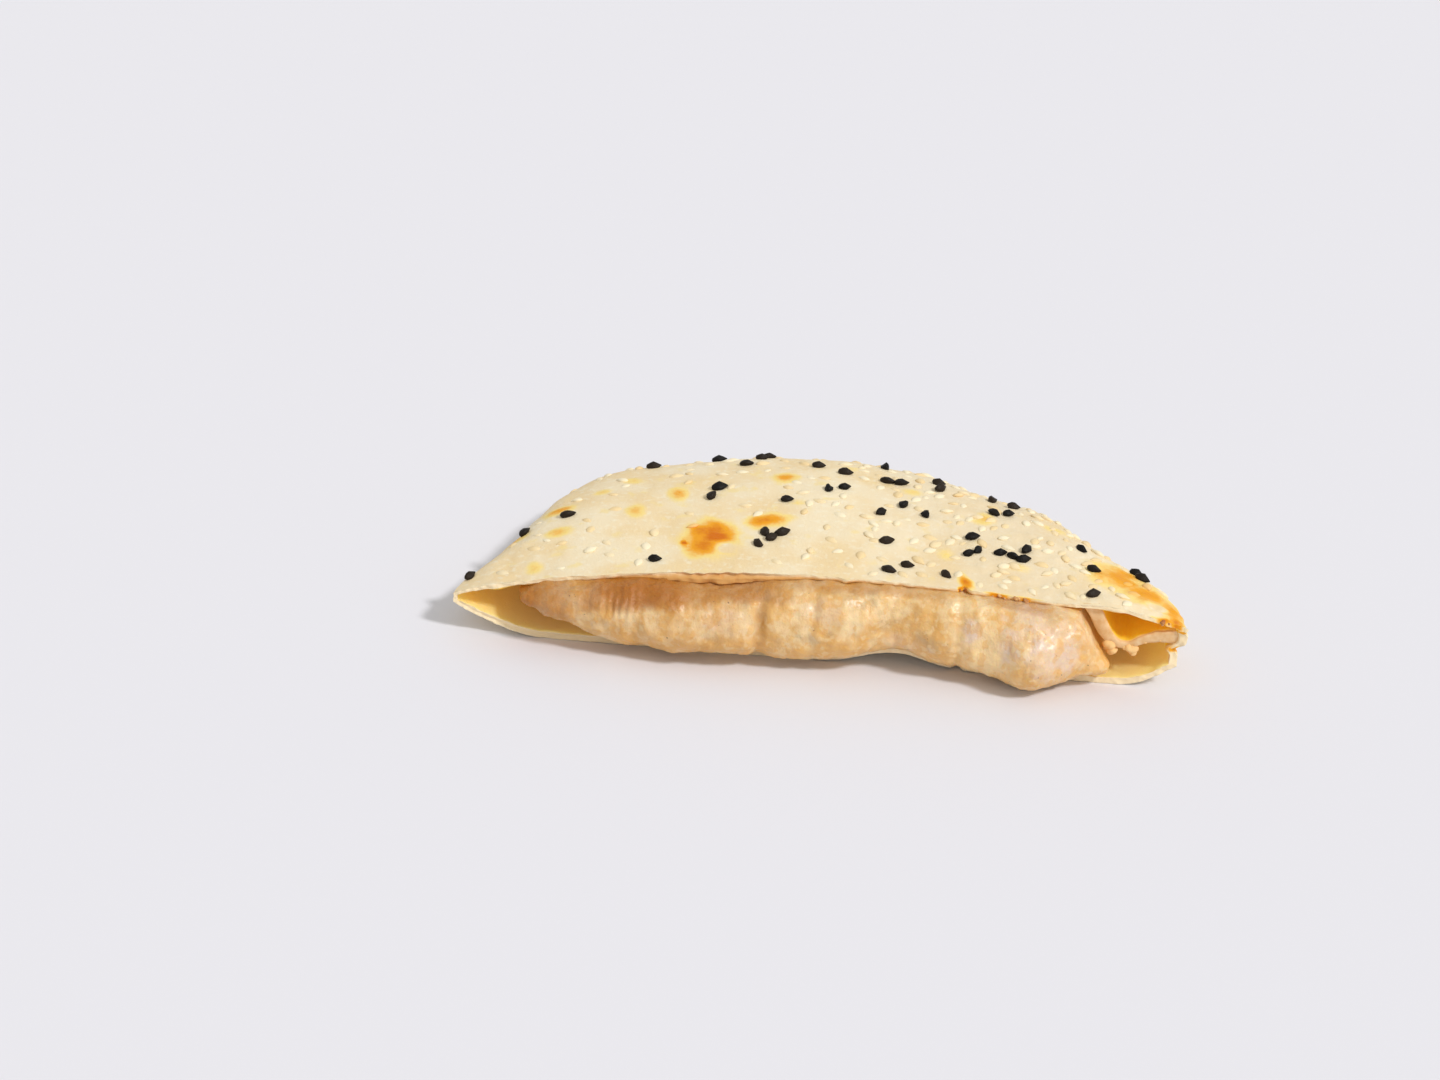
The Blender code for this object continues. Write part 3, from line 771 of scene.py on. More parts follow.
def ply_height(x):
    """The middle of the inner ply at the right corner."""
    if x <= PLY_LINE[0][0]:
        return PLY_LINE[0][1] + (PLY_LINE[0][0] - x)
    for (x0, z0), (x1, z1) in zip(PLY_LINE, PLY_LINE[1:]):
        if x <= x1:
            return z0 + (z1 - z0) * (x - x0) / (x1 - x0)
    return PLY_LINE[-1][1]


def ply_smooth(x):
    """The same line with its corners rounded, as the mean over a few millimetres."""
    return sum(ply_height(x + PLY_MEAN_STEP * step) for step in PLY_MEAN_STEPS) / len(PLY_MEAN_STEPS)


def ply_half(x):
    """Half the inner ply's thickness, measured straight up, so more where it is steep."""
    slope = (ply_height(x + 1.0) - ply_height(x - 1.0)) / 2.0
    thick = PLY_THICKNESS + (PLY_THICK_END - PLY_THICKNESS) * ramp(*PLY_THICK_FROM, x)
    return thick / 2.0 * math.sqrt(1.0 + slope * slope)


print("the ply is", round(2.0 * ply_half(PLY_LINE[-1][0]), 1), "mm thick at its right end")

# %% Ply
PLY_EDGE = (0.3, 1.5)
PLY_WIDER = 2.3
PLY_WIDER_TO = (62.0, 57.5)
PLY_ROOT = 1.6
PLY_RECESS = 0.7
PLY_SUNK = 0.25
PLY_SUNK_TOP = 0.8
PLY_FACE_SHARE = 0.45
PLY_STEPS = (120, 80)
PLY_RAGGED = (0.30, 2.6)
PLY_UNEVEN = (0.25, 2.0)
PLY_UNEVEN_AT = 4.0
PLY_BARE = 0.60
PLY_UNDER_DEEP = 0.6
PLY_BACK_POWER = 1.5
PLY_ROUNDED = 1.5


def ply_point(u, step):
    """The ply: a thin sheet that follows its line along X and runs back into the rim."""
    x = PLY_LINE[0][0] + (PLY_LINE[-1][0] - PLY_LINE[0][0]) * u
    v = step / PLY_STEPS[1]
    held = min(x, HOLLOW_RIGHT - END_INSET)
    above = v < 0.5
    share = v / PLY_FACE_SHARE if above else (0.5 + PLY_FACE_SHARE - v) / PLY_FACE_SHARE
    share = min(max(share, 0.0), 1.0) ** PLY_BACK_POWER
    y = PLY_RECESS + (pocket_depth(held) + PLY_ROOT - PLY_RECESS) * share
    y += (1.0 - share) * bumps((x, 0.0, 0.0), PLY_RAGGED)
    side_of = 1.0 if above else -1.0
    roof = ceiling(held, y, pocket_depth(held)) + (PLY_SUNK_TOP if above else PLY_SUNK)
    uneven = 1.0 + bumps((x, y, PLY_UNEVEN_AT), PLY_UNEVEN)
    if above:
        uneven += PLY_WIDER * ramp(*PLY_WIDER_TO, x)
    z = min(ply_smooth(x) + side_of * ply_half(x) * uneven, roof)
    edge = 1.0 - ramp(*PLY_EDGE, y - PLY_RECESS)
    return (tucked(x, z), y, z), (edge, (1.0 - edge) * (1.0 if above else PLY_UNDER_DEEP), PLY_BARE)


ply_shape = tube(PLY_STEPS[0], PLY_STEPS[1], ply_point, ("crumb", "pocket", "bare"))
round_off(ply_shape, [vert for vert in ply_shape.verts if vert.co.y < PLY_RECESS + PLY_ROUNDED])
line_pocket(ply_shape)
ply = finished("inner_ply", ply_shape)

# %% [markdown]
# # The paste
# The filling is thick sesame paste that swelled out of the cut as a roll, with lobes, a waist and one place
# where it sags to the ground. Metaballs would give such a form, but no hold on its outline. So its tube
# follows the rule of the solid, forward over the top, down the roll and back underneath, with most of its
# steps on the roll. It stays between the two sheets and under the inner ply.

# %% Roll of the paste
PASTE_LEFT = -61.5
PASTE_RIGHT = 59.5
PASTE_ROUND_START = 47.0
PASTE_LEFT_ROUND = 6.0
PASTE_BULGE = 7.2
PASTE_LEAST_BULGE = 0.6
PASTE_BULGE_POWER = 5
PASTE_LOBES = ((6.0, 44.0, 7.0), (1.6, -28.0, 11.0), (-3.2, 16.0, 7.0))
PASTE_CREASES = ((-0.7, -12.0, 1.6), (-0.6, 28.5, 2.0), (-0.5, -37.0, 1.5))


def paste_share(x):
    """0 in the middle of the paste, 1 at either end."""
    middle = (PASTE_LEFT + PASTE_RIGHT) / 2.0
    return min(1.0, abs(x - middle) / (PASTE_RIGHT - middle))


def paste_end(x):
    """1 along the paste, falling to 0 over its rounded ends."""
    run = max(0.0, (x - PASTE_ROUND_START) / (PASTE_RIGHT - PASTE_ROUND_START))
    run = max(run, (PASTE_LEFT + PASTE_LEFT_ROUND - x) / PASTE_LEFT_ROUND)
    return math.sqrt(max(0.0, 1.0 - run * run))


def paste_bulge(x):
    """How far the paste stands out of the cut."""
    ends = math.sqrt(1.0 - paste_share(x) ** PASTE_BULGE_POWER)
    uneven = sum(hill(x, shape) for shape in PASTE_LOBES + PASTE_CREASES)
    return PASTE_LEAST_BULGE + (PASTE_BULGE + uneven) * ends


print("the paste stands out by", round(paste_bulge(PASTE_LOBES[0][1]), 1), "mm at its largest lobe")

# %% Limits of the paste
PASTE_LIFT = 6.0
PASTE_LIFT_FROM = -36.0
PASTE_LOW = 2.3
PASTE_OVER_ARCH = 1.5
PASTE_SAG = (-1.95, 44.0, 8.0)
PASTE_TOUCH = 0.12
PASTE_LEAST_HEIGHT = 0.4
PASTE_WIDEST = 0.46
GAP = 0.3


def paste_lift(x):
    """How far the paste's underside climbs towards its left end."""
    return PASTE_LIFT * ramp(PASTE_LIFT_FROM, PASTE_LEFT, x)


def paste_low(x):
    """The lowest line of the bulge, which sags to the ground at one lobe."""
    return PASTE_LOW + paste_lift(x) + PASTE_OVER_ARCH * hill(x, ARCH) + hill(x, PASTE_SAG)


def paste_limits(x, y):
    """The lowest and highest the paste can be between the sheets and under the ply."""
    depth = pocket_depth(x)
    under_ply = ply_height(x) - ply_half(x) * (1.0 + 2.0 * GAP / PLY_THICKNESS)
    high = min(ceiling(x, y, depth) + PASTE_TOUCH, under_ply)
    low = min(pocket_floor(x, y, depth) + GAP + paste_lift(x), high - PASTE_LEAST_HEIGHT)
    middle = low + (high - low) * PASTE_WIDEST
    return middle + (low - middle) * paste_end(x), middle + (high - middle) * paste_end(x)


print("the paste lies between", [round(z, 1) for z in paste_limits(0.0, 0.0)], "mm at the cut")

# %% Paste
PASTE_DEPTH = 60.5
PASTE_DEPTH_POWER = 2.6
PASTE_REAR_POWER = 5
PASTE_BULGE_FULLNESS = 0.8
PASTE_FRONT = -0.4
PASTE_SHARES = (0.16, 0.66, 0.18)
PASTE_STEPS = (520, 160)


def quarter(share):
    """0 to 1 as a quarter turn, so that steps crowd where an outline ends."""
    return math.sin(math.pi / 2.0 * share)


def paste_point(u, step):
    """The paste: forward over its top, down the bulge, back underneath."""
    x = spaced(u, PASTE_LEFT + END_INSET, PASTE_RIGHT - END_INSET)
    v = step / PASTE_STEPS[1]
    top, front, floor_share = PASTE_SHARES
    over = v < top
    if over or v >= 1.0 - floor_share:
        turn = 1.0 - v / top if over else 1.0 - (1.0 - v) / floor_share
        depth = PASTE_DEPTH * math.sqrt(1.0 - paste_share(x) ** PASTE_DEPTH_POWER)
        low, high = paste_limits(x, depth * quarter(turn))
        closing = math.sqrt(1.0 - quarter(turn) ** PASTE_REAR_POWER)
        half = closing * (high - low) / 2.0
        return (x, depth * quarter(turn), (low + high) / 2.0 + (half if over else -half)), (0.0,)
    low, high = paste_limits(x, 0.0)
    turn = math.pi * min(1.0, (v - top) / front)
    bottom = low + (min(paste_low(x), low) - low) * paste_end(x)
    middle = bottom + (high - bottom) * PASTE_WIDEST
    out = paste_bulge(x) * max(0.0, math.sin(turn)) ** PASTE_BULGE_FULLNESS
    z = middle + math.cos(turn) * (high - middle if turn < math.pi / 2.0 else middle - bottom)
    return (x, PASTE_FRONT - out, z), (max(0.0, math.sin(turn)),)


paste_shape = tube(PASTE_STEPS[0], PASTE_STEPS[1], paste_point, ("front",))
print("the paste starts with", len(paste_shape.verts), "points")

# %% [markdown]
# # The face of the paste
# Thick paste keeps every mark. It is lumpy in four sizes, the knife dragged fine upright grooves down it and
# a run of ribs at the left, and furrows lie where one lobe meets the next. All of this is pushed along the
# normals, and kept off the ground. The colours follow places too, so five values are painted on the points:
# the caramel of paste baked under the top sheet together with painted shade under its lip and in the pocket,
# painted warm bounce light low down, how grey it is, painted sheen and light, and painted bounce light on
# shaded flanks. A strip of caramel and shade is given by its middle, its half width, how far below the sheet
# it starts to fade and ends, and its strength. A patch is an oval on the face, given by its place, its half
# sizes and its strength.

# %% Lumps and grooves of the paste
LUMPS = ((0.55, 6.0), (0.42, 3.1), (0.20, 1.5), (0.07, 0.7))
GROOVE = (0.10, 0.85, 5.0)
GROOVE_PATCH = 9.0
GROOVE_AT = 20.0
GROOVE_PLACES = ((1.2, 31.0, 2.0), (0.8, 42.5, 4.0))
RIBS = (0.20, -41.0, 4.5)
RIB_PITCH = 1.5
RIB_WANDER = (1.6, 3.0)
RIB_HEIGHTS = (9.0, 11.5)
FURROWS = (
    (0.5, -12.3, 1.1), (0.5, 15.5, 1.4), (0.5, 28.8, 1.1), (0.4, -1.5, 1.0), (0.25, 42.5, 1.4),
)
FURROW_BEND = (1.3, 4.5)


def paste_relief(x, y, z, front):
    """How far the paste's face stands out from its plain form."""
    lumps = layered((x, y, z), LUMPS, apart=3.0)
    patch = 0.5 + 0.5 * grain((x, y, z), GROOVE_PATCH, GROOVE_AT)
    patch += sum(hill(x, place) for place in GROOVE_PLACES)
    height, size, stretch = GROOVE
    groove = height * patch * grain((x, 0.0, z * size / stretch), size)
    turn = math.tau * x / RIB_PITCH + bumps((x, y, z), RIB_WANDER)
    ribs = hill(x, RIBS) * math.sin(turn) * ramp(*RIB_HEIGHTS, z)
    bend = bumps((0.0, x, z), FURROW_BEND)
    furrows = sum(hill(x + bend, furrow) for furrow in FURROWS)
    return lumps + (groove + ribs - furrows) * front


print("the lumps rise by up to", round(sum(height for height, size in LUMPS), 2), "mm")

# %% Stains and patches of the paste
# Brown strips along the top of the paste: baked caramel, and painted shade under the lip and at the left end.
CARAMEL_AND_SHADE = (
    (-37.0, 14.0, 1.6, 5.6, 1.0), (-57.0, 8.0, 3.0, 11.0, 0.75), (40.0, 8.0, 0.0, 0.4, 0.5),
    (-18.0, 12.0, 2.0, 3.8, 0.75), (6.0, 20.0, 0.1, 1.2, 0.5), (-34.0, 22.0, 12.0, 16.0, 0.18),
    (-12.0, 1.4, 6.0, 14.0, 0.4), (-61.0, 6.0, 8.0, 20.0, 0.9),
)
STRIP_SQUARENESS = 4
STRIP_RAGGED = (0.3, 3.0)
STRIP_AT = 40.0
GREYS = (
    (23.5, 9.8, 4.6, 2.4, 0.75), (7.5, 17.4, 5.5, 2.0, 0.7), (-2.0, 9.0, 3.4, 2.2, 0.4),
    (13.0, 13.0, 3.6, 3.4, 0.55), (3.0, 12.0, 3.0, 3.0, 0.35),
)
# Painted light: a whitish sheen where wet paste would reflect the sky, and paler paint where it lies in
# shade.
PAINTED_LIGHTS = (
    (48.0, 11.0, 8.0, 8.0, 0.6), (-20.0, 12.0, 5.0, 3.5, 0.35), (0.0, 15.0, 6.0, 3.0, 0.3),
    (18.0, 8.0, 6.0, 3.0, 0.3), (30.5, 13.5, 2.6, 2.8, 0.9), (38.5, 12.0, 3.0, 4.0, 0.9),
    (44.5, 13.5, 3.0, 3.0, 0.9), (50.0, 9.5, 4.5, 5.0, 0.8), (43.0, 16.5, 7.0, 2.0, 0.6),
)
# Painted bounce light: paler patches on flanks that face away from the lamp and lie in shade.
PAINTED_BOUNCES = ((34.0, 8.5, 7.0, 8.0, 0.95), (-31.0, 8.0, 4.0, 4.0, 0.3))
PATCH_RAGGED = (0.45, 2.0)
PATCH_FADE = (0.3, 1.1)
PATCH_AT = 50.0


def caramel_and_shade_at(x, z):
    """Caramel of paste baked against the top sheet, with painted shade under its lip and in the pocket."""
    below = top_face(x, 0.0, rim_depth(x)) - LIP_THICKNESS - z
    most = 0.0
    for middle, half, start, end, strength in CARAMEL_AND_SHADE:
        window = math.exp(-(((x - middle) / half) ** STRIP_SQUARENESS))
        ragged = (end - start) * bumps((x, 0.0, z), STRIP_RAGGED, STRIP_AT)
        most = max(most, strength * window * (1.0 - ramp(start, end, below + ragged)))
    return most


def patched(x, z, patches):
    """How strong the patches of one colour are here."""
    ragged = bumps((x, 0.0, z), PATCH_RAGGED, PATCH_AT)
    most = 0.0
    for mx, mz, half_x, half_z, strength in patches:
        far = math.hypot((x - mx) / half_x, (z - mz) / half_z) + ragged
        most = max(most, strength * (1.0 - ramp(*PATCH_FADE, far)))
    return most


print(len(CARAMEL_AND_SHADE), "stains and", len(GREYS + PAINTED_LIGHTS + PAINTED_BOUNCES), "patches")

# %% Knead the paste
PASTE_FLOOR = 0.12
PASTE_SHOWN = (6.0, -1.0)
# Painted warm bounce light: low on the paste it takes more ochre, as if lit warmly from below.
WARM_BOUNCE_BELOW = (11.0, 5.0)


def knead(shape):
    """Pushes the relief out, in front only, paints the five values and keeps the paste off the ground."""
    front = shape.verts.layers.float["front"]
    names = ("caramel_shade", "warm_bounce", "grey", "light", "bounce")
    caramel_shade, warm_bounce, grey, light, bounce = (shape.verts.layers.float.new(name) for name in names)
    moves = []
    for vert in shape.verts:
        x, y, z = vert.co
        moves.append(vert.normal * paste_relief(x, y, z, vert[front]) * ramp(*PASTE_SHOWN, y))
        vert[caramel_shade], vert[warm_bounce] = caramel_and_shade_at(x, z), ramp(*WARM_BOUNCE_BELOW, z)
        for mark, patches in ((grey, GREYS), (light, PAINTED_LIGHTS), (bounce, PAINTED_BOUNCES)):
            vert[mark] = patched(x, z, patches)
    for vert, move in zip(shape.verts, moves):
        vert.co += move
        vert.co.z = max(vert.co.z, PASTE_FLOOR)
    shape.normal_update()


knead(paste_shape)
paste = finished("paste", paste_shape)

# %% [markdown]
# # The seeds
# Two kinds lie on the crust. Black cumin seeds are three sided drops with sharp ridges, placed one by one as
# on the real half. Sesame seeds are flat pale drops, strewn by chance and thickest to the rear and right.
# Each seed could be an instance, but an export drops those, so a few dozen faces are made for each and all of
# one kind are one mesh. The chance is seeded, so that the same seeds fall in the same places every time.

# %% Places of the black seeds
BLACK_SEEDS = (
    (-72, 6.4, 50), (-61.8, 22, 50), (-53.4, 26, 10), (-34.5, 5.5, -5), (-36.8, 55, 0),
    (-22.5, 37, 15), (-24, 33, 70), (-23, 61, 10), (-17.2, 50.8, 0), (-14, 57, 0), (-12.5, 62, 20),
    (-8.3, 30.5, 5), (-12.5, 17.5, 100), (-8.9, 17.2, 25), (-11, 15, 40), (-13.8, 12.2, 120),
    (-2, 50.6, 0), (3.7, 47.4, -5), (0.1, 36.4, 95), (3.5, 38, 20), (12.2, 57, 90),
    (12.7, 45.6, -15), (15.6, 45, 20), (16.1, 33.6, 60), (11.3, 28.2, 45), (12.6, 16, 20),
    (13.2, 4.2, -20), (17, 7.2, -8), (23.5, 48.6, -15), (23.8, 44.6, 50), (20.6, 30, 100),
    (30.4, 21.8, 20), (29.6, 15.2, 30), (31.5, 16.9, 60), (34.8, 45, 95), (39.3, 41.6, 0),
    (38.1, 35.5, 30), (35, 34.3, -40), (36.2, 16.9, 15), (38.9, 15.9, -20), (41, 15.4, 20),
    (41.6, 19.2, 60), (25, 5, -50), (53.3, 25.2, -40), (55.6, 15.8, -10), (55.3, 4.8, 30),
    (65, 22.5, -20), (66, 19.4, -25),
)

print(len(BLACK_SEEDS), "black seeds")

# %% Places of the pale seeds
SEED_RANDOM = 7
PALE_COUNT = 80
PALE_SPACING = 3.4
MORE_PALE_COUNT = 150
MORE_PALE_SPACING = 2.1
ANY_BROWN = 2.0
LITTLE_BROWN = 0.25
EDGE_MARGIN = 4.0
CUT_MARGIN = 2.5
RIM_MARGIN = 0.93
LEAST_CROWDED = 0.1
CROWDED_RIGHT = (0.9, -15.0, 45.0)
CROWDED_REAR = (0.35, 30.0, 60.0)


def on_sheet(x, y):
    """Whether a seed here sits on the sheet, off its edges."""
    return abs(x) < HALF_CHORD - EDGE_MARGIN and CUT_MARGIN < y < rim_depth(x) * RIM_MARGIN


def crowding(x, y):
    """How likely a pale seed is here: sesame lies thickest to the rear and right."""
    right_share, *right_span = CROWDED_RIGHT
    rear_share, *rear_span = CROWDED_REAR
    return LEAST_CROWDED + right_share * ramp(*right_span, x) + rear_share * ramp(*rear_span, y)


def strewn(draw, count, spacing, taken, brownest):
    """Places drawn by chance, off the black seeds, off one another and off skin browner than a limit."""
    places = []
    while len(places) < count:
        x, y = draw.uniform(-HALF_CHORD, HALF_CHORD), draw.uniform(0.0, DEPTH)
        likely = draw.random() < crowding(x, y) and on_sheet(x, y) and browned(x, y) < brownest
        if likely and all(math.hypot(x - other[0], y - other[1]) > spacing for other in taken + places):
            places.append((x, y))
    return places


draw = random.Random(SEED_RANDOM)
black_places = [(x, y) for x, y, degrees in BLACK_SEEDS]
pale_places = strewn(draw, PALE_COUNT, PALE_SPACING, black_places, ANY_BROWN)
pale_turns = [draw.uniform(0.0, math.tau) for place in pale_places]
more_places = strewn(draw, MORE_PALE_COUNT, MORE_PALE_SPACING, black_places + pale_places, LITTLE_BROWN)
pale_turns += [draw.uniform(0.0, math.tau) for place in more_places]
pale_places += more_places
print(len(pale_places), "pale seeds")

# %% Seed shapes
BLACK_SEED = (3.4, 1.95, 1.75)
PALE_SEED = (3.1, 1.95, 1.05)
SEED_ROUNDNESS = 2
BLACK_VARIES = 0.12
PALE_VARIES = 0.20
RIDGES = 0.20
PITTED = (0.16, 0.35)
SEED_TWIST = 9.0
SEED_ROLL = 0.35
TAPER_TO_TIP = 1.35
TAPER_TO_BACK = 0.25
SLOPE_STEP = 0.5


def skin_frame(x, y):
    """A place on the raised skin and the way that the skin faces there."""
    depth, moves = rim_depth(x), (-SLOPE_STEP, SLOPE_STEP)
    left, right = (top_face(x + move, y, rim_depth(x + move)) for move in moves)
    near, far = (top_face(x, y + move, depth) for move in moves)
    facing = Vector((left - right, near - far, 2.0 * SLOPE_STEP)).normalized()
    z = top_face(x, y, depth)
    return Vector((x, y, z)) + facing * relief(x, y, z), facing


def add_seed(shape, size, x, y, turn, lift, black):
    """Adds one drop-shaped seed to a mesh of many, partly sunk in the skin."""
    shade, toast = shape.verts.layers.float["shade"], shape.verts.layers.float["toast"]
    made = bmesh.ops.create_icosphere(shape, subdivisions=SEED_ROUNDNESS, radius=0.5)
    grow = 1.0 + (BLACK_VARIES if black else PALE_VARIES) * draw.uniform(-1.0, 1.0)
    tone, roll = draw.random(), draw.uniform(-SEED_ROLL, SEED_ROLL)
    baked = browned(x, y)
    for vert in made["verts"]:
        x0, y0, z0 = vert.co
        narrow = 1.0 - TAPER_TO_TIP * max(0.0, x0) - TAPER_TO_BACK * max(0.0, -x0)
        if black:
            ridges = RIDGES * math.cos(3.0 * math.atan2(z0, y0) + SEED_TWIST * tone)
            narrow *= 1.0 + ridges + bumps((x0, y0, z0), PITTED, SEED_TWIST * tone)
        vert.co = Vector((x0 * size[0], y0 * size[1] * narrow, z0 * size[2] * narrow)) * grow
        vert[shade], vert[toast] = tone, baked
    place, facing = skin_frame(x, y)
    lean = Vector((0.0, 0.0, 1.0)).rotation_difference(facing).to_matrix().to_4x4()
    spin = Matrix.Rotation(turn, 4, "Z") @ Matrix.Rotation(roll, 4, "X")
    move = Matrix.Translation(place + facing * lift) @ lean @ spin
    bmesh.ops.transform(shape, matrix=move, verts=made["verts"])


print("a black seed is", BLACK_SEED[0], "mm long and a pale one", PALE_SEED[0])

# %% Strew the seeds
BLACK_LIFT = 0.45
PALE_LIFT = -0.08
PALE_LIFT_VARIES = 0.14


def seed_mesh():
    """An empty mesh with the two values that every seed's points carry."""
    shape = bmesh.new()
    for mark in ("shade", "toast"):
        shape.verts.layers.float.new(mark)
    return shape


black_shape = seed_mesh()
for x, y, degrees in BLACK_SEEDS:
    add_seed(black_shape, BLACK_SEED, x, y, math.radians(degrees), BLACK_LIFT, True)
black_seeds = finished("black_seeds", black_shape)

pale_shape = seed_mesh()
for (x, y), turn in zip(pale_places, pale_turns):
    lift = PALE_LIFT + PALE_LIFT_VARIES * draw.uniform(-1.0, 1.0)
    add_seed(pale_shape, PALE_SEED, x, y, turn, lift, False)
pale_seeds = finished("pale_seeds", pale_shape)

# %% [markdown]
# # Crumbs
# The knife leaves crumbs along the cut: a red-brown row right of the blister that it cut through, a few
# beside the nick and at the right tip, and pale ones on the inner ply, where two larger lumps hang. They are
# small lumpy balls, joined in one mesh and pressed into what they hang on. A row of them is given by the line
# that it follows, its middle and half length along the cut, how many there are, and its palest and darkest.

# %% Crumbs along the cut
CRUMB_SIZE = (0.40, 0.95)
CRUMB_ROUNDNESS = 3
CRUMB_LUMPS = (0.6, 0.6)
CRUMB_BELOW_EDGE = (0.2, 0.9)
CRUMB_UNDER_PLY = (0.4, 1.0)
CRUMB_BACK = 0.2
CRUMB_ROWS = (
    ("edge", 38.4, 4.0, 13, 0.40, 0.75), ("edge", 28.4, 0.9, 3, 0.6, 0.9), ("ply", 63.4, 1.0, 4, 0.0, 0.2),
    ("ply", 68.0, 1.6, 3, 0.0, 0.3), ("edge", 69.6, 1.6, 4, 0.5, 0.9),
)
HANGING = ((59.3, 8.3, 2.7), (60.0, 7.4, 2.1), (63.9, 8.2, 2.3), (64.3, 7.3, 1.8))
HANGING_BACK = 0.5
HANGING_TONE = 0.1


def add_crumb(shape, place, size, tone):
    """Adds one lumpy crumb to a mesh of many."""
    shade = shape.verts.layers.float["shade"]
    made = bmesh.ops.create_icosphere(shape, subdivisions=CRUMB_ROUNDNESS, radius=0.5)
    for vert in made["verts"]:
        lump = 1.0 + bumps(vert.co + place, CRUMB_LUMPS)
        vert.co = place + vert.co * size * lump
        vert[shade] = tone


crumb_shape = seed_mesh()
for line, middle, half, count, palest, darkest in CRUMB_ROWS:
    for number in range(count):
        x = middle + half * draw.uniform(-1.0, 1.0)
        size = draw.uniform(*CRUMB_SIZE)
        if line == "edge":
            y = lip_wander(x, PEAK_HEIGHT)
            z = top_face(x, 0.0, rim_depth(x)) - draw.uniform(*CRUMB_BELOW_EDGE)
        else:
            y = PLY_RECESS + CRUMB_BACK
            z = ply_smooth(x) - ply_half(x) * draw.uniform(*CRUMB_UNDER_PLY)
        add_crumb(crumb_shape, Vector((x, y, z)), size, draw.uniform(palest, darkest))
for x, z, size in HANGING:
    add_crumb(crumb_shape, Vector((x, PLY_RECESS + HANGING_BACK, z)), size, HANGING_TONE)
crumbs = finished("crumbs", crumb_shape)

# %% [markdown]
# # A small language for finishes
# A finish is a tree of shader nodes. Wired one by one it is hard to read, so two small classes help. Wire
# wraps a node's output, and plain sums written with it add Math nodes. Finish holds one material, and its add
# method makes any other node: its settings first, then what goes into its sockets. The finishes below are
# given as rows of numbers that this language reads. A name that ends in GRAIN is a noise: its size in
# millimetres, its detail, its shift and its stretch. One that ends in EDGE says where a step starts and ends.

# %% Wire


class Wire:
    """One output of a shader node. Sums and products written with it add Math nodes."""

    def __init__(self, finish, socket):
        self.finish, self.socket = finish, socket

    def math(self, operation, first, second):
        return self.finish.add("ShaderNodeMath", {"operation": operation}, {0: first, 1: second})

    def __add__(self, other):
        return self.math("ADD", self, other)

    def __sub__(self, other):
        return self.math("SUBTRACT", self, other)

    def __rsub__(self, other):
        return self.math("SUBTRACT", other, self)

    def __mul__(self, other):
        return self.math("MULTIPLY", self, other)

    __radd__ = __add__
    __rmul__ = __mul__


print("a wire can be added to, taken from and multiplied")

# %% Finish of one material
EVEN = (1.0, 1.0, 1.0)


class Finish:
    """One material. What is the same all over goes straight on the shader's own sockets."""

    def __init__(self, name, fixed):
        self.material = bpy.data.materials.new(name)
        self.material.use_nodes = True
        self.nodes, self.links = self.material.node_tree.nodes, self.material.node_tree.links
        self.shader = self.nodes["Principled BSDF"]
        for socket, value in fixed.items():
            self.shader.inputs[socket].default_value = value
        self.place = self.add("ShaderNodeTexCoord", output="Object")

    def feed(self, socket, value):
        if isinstance(value, Wire):
            self.links.new(value.socket, socket)
        else:
            socket.default_value = value

    def add(self, kind, settings=None, sockets=None, output=0):
        """Adds a node, sets it, feeds its sockets and gives one of its outputs."""
        node = self.nodes.new(kind)
        for name, value in (settings or {}).items():
            setattr(node, name, value)
        for name, value in (sockets or {}).items():
            self.feed(node.inputs[name], value)
        return Wire(self, node.outputs[output])

    def mark(self, name):
        """A value that was painted on the mesh's points."""
        return self.add("ShaderNodeAttribute", {"attribute_name": name}, output="Fac")

    def grain(self, size, detail=2.0, shift=0.0, stretch=EVEN):
        """Noise whose spots are about size millimetres across, from 0 to 1."""
        scale = tuple(1.0 / (size * MM * share) for share in stretch)
        settings = {"Vector": self.place, "Scale": scale, "Location": (shift,) * 3}
        moved = self.add("ShaderNodeMapping", None, settings)
        return self.add("ShaderNodeTexNoise", None, {"Vector": moved, "Scale": 1.0, "Detail": detail})

    def uneven(self, share, *grain):
        """The same noise about zero, so that it takes away as much as it adds."""
        return share * (self.grain(*grain) - 0.5)

    def step(self, value, low, high):
        """0 below low, 1 above high, smooth between them."""
        limits = {"Value": value, "From Min": low, "From Max": high}
        return self.add("ShaderNodeMapRange", {"interpolation_type": "SMOOTHSTEP"}, limits)

    def mix(self, share, first, second):
        """A colour between two others."""
        return self.add("ShaderNodeMix", {"data_type": "RGBA"}, {0: share, 6: first, 7: second}, output=2)

    def spots(self, shade, *rows):
        """Lays spots over a colour. A row is the noise that they follow, its edge, their share and colour."""
        for grain, edge, share, tone in rows:
            shade = self.mix(share * self.step(self.grain(*grain), *edge), shade, tone)
        return shade

    def bump(self, height, depth):
        """A normal that follows a height from 0 to 1, depth millimetres deep."""
        return self.add("ShaderNodeBump", None, {"Height": height, "Distance": depth * MM, "Strength": 1.0})

    def show(self, **sockets):
        for name, value in sockets.items():
            self.feed(self.shader.inputs[name.replace("_", " ")], value)


print("finishes are written as sums of wires")

# %% [markdown]
# # The finish of the crust
# Baked dough is matt cream, mottled by a little flour and by the seeds' oil. Where it browned it goes from
# yellow through orange to brown, always in that order, so one painted value runs through a row of colours.
# Right of the middle a wide band is painted a little darker: painted shade, which tones down the lamp's
# stronger light on that side. The torn lips are bare crumb, rougher and more tan. The pocket is stained
# orange by the oil, and its dough is so thin that daylight comes through it. So its lining has a finish of
# its own, with all of its light spread under the surface and a faint painted glow for the light that comes
# through. Its ceiling is a deeper orange, partly the oil's stain and partly painted shade under the top
# sheet. Lamps behind the sheet would give the same glow, but they would not be part of the piece.

# %% Colours of the crust


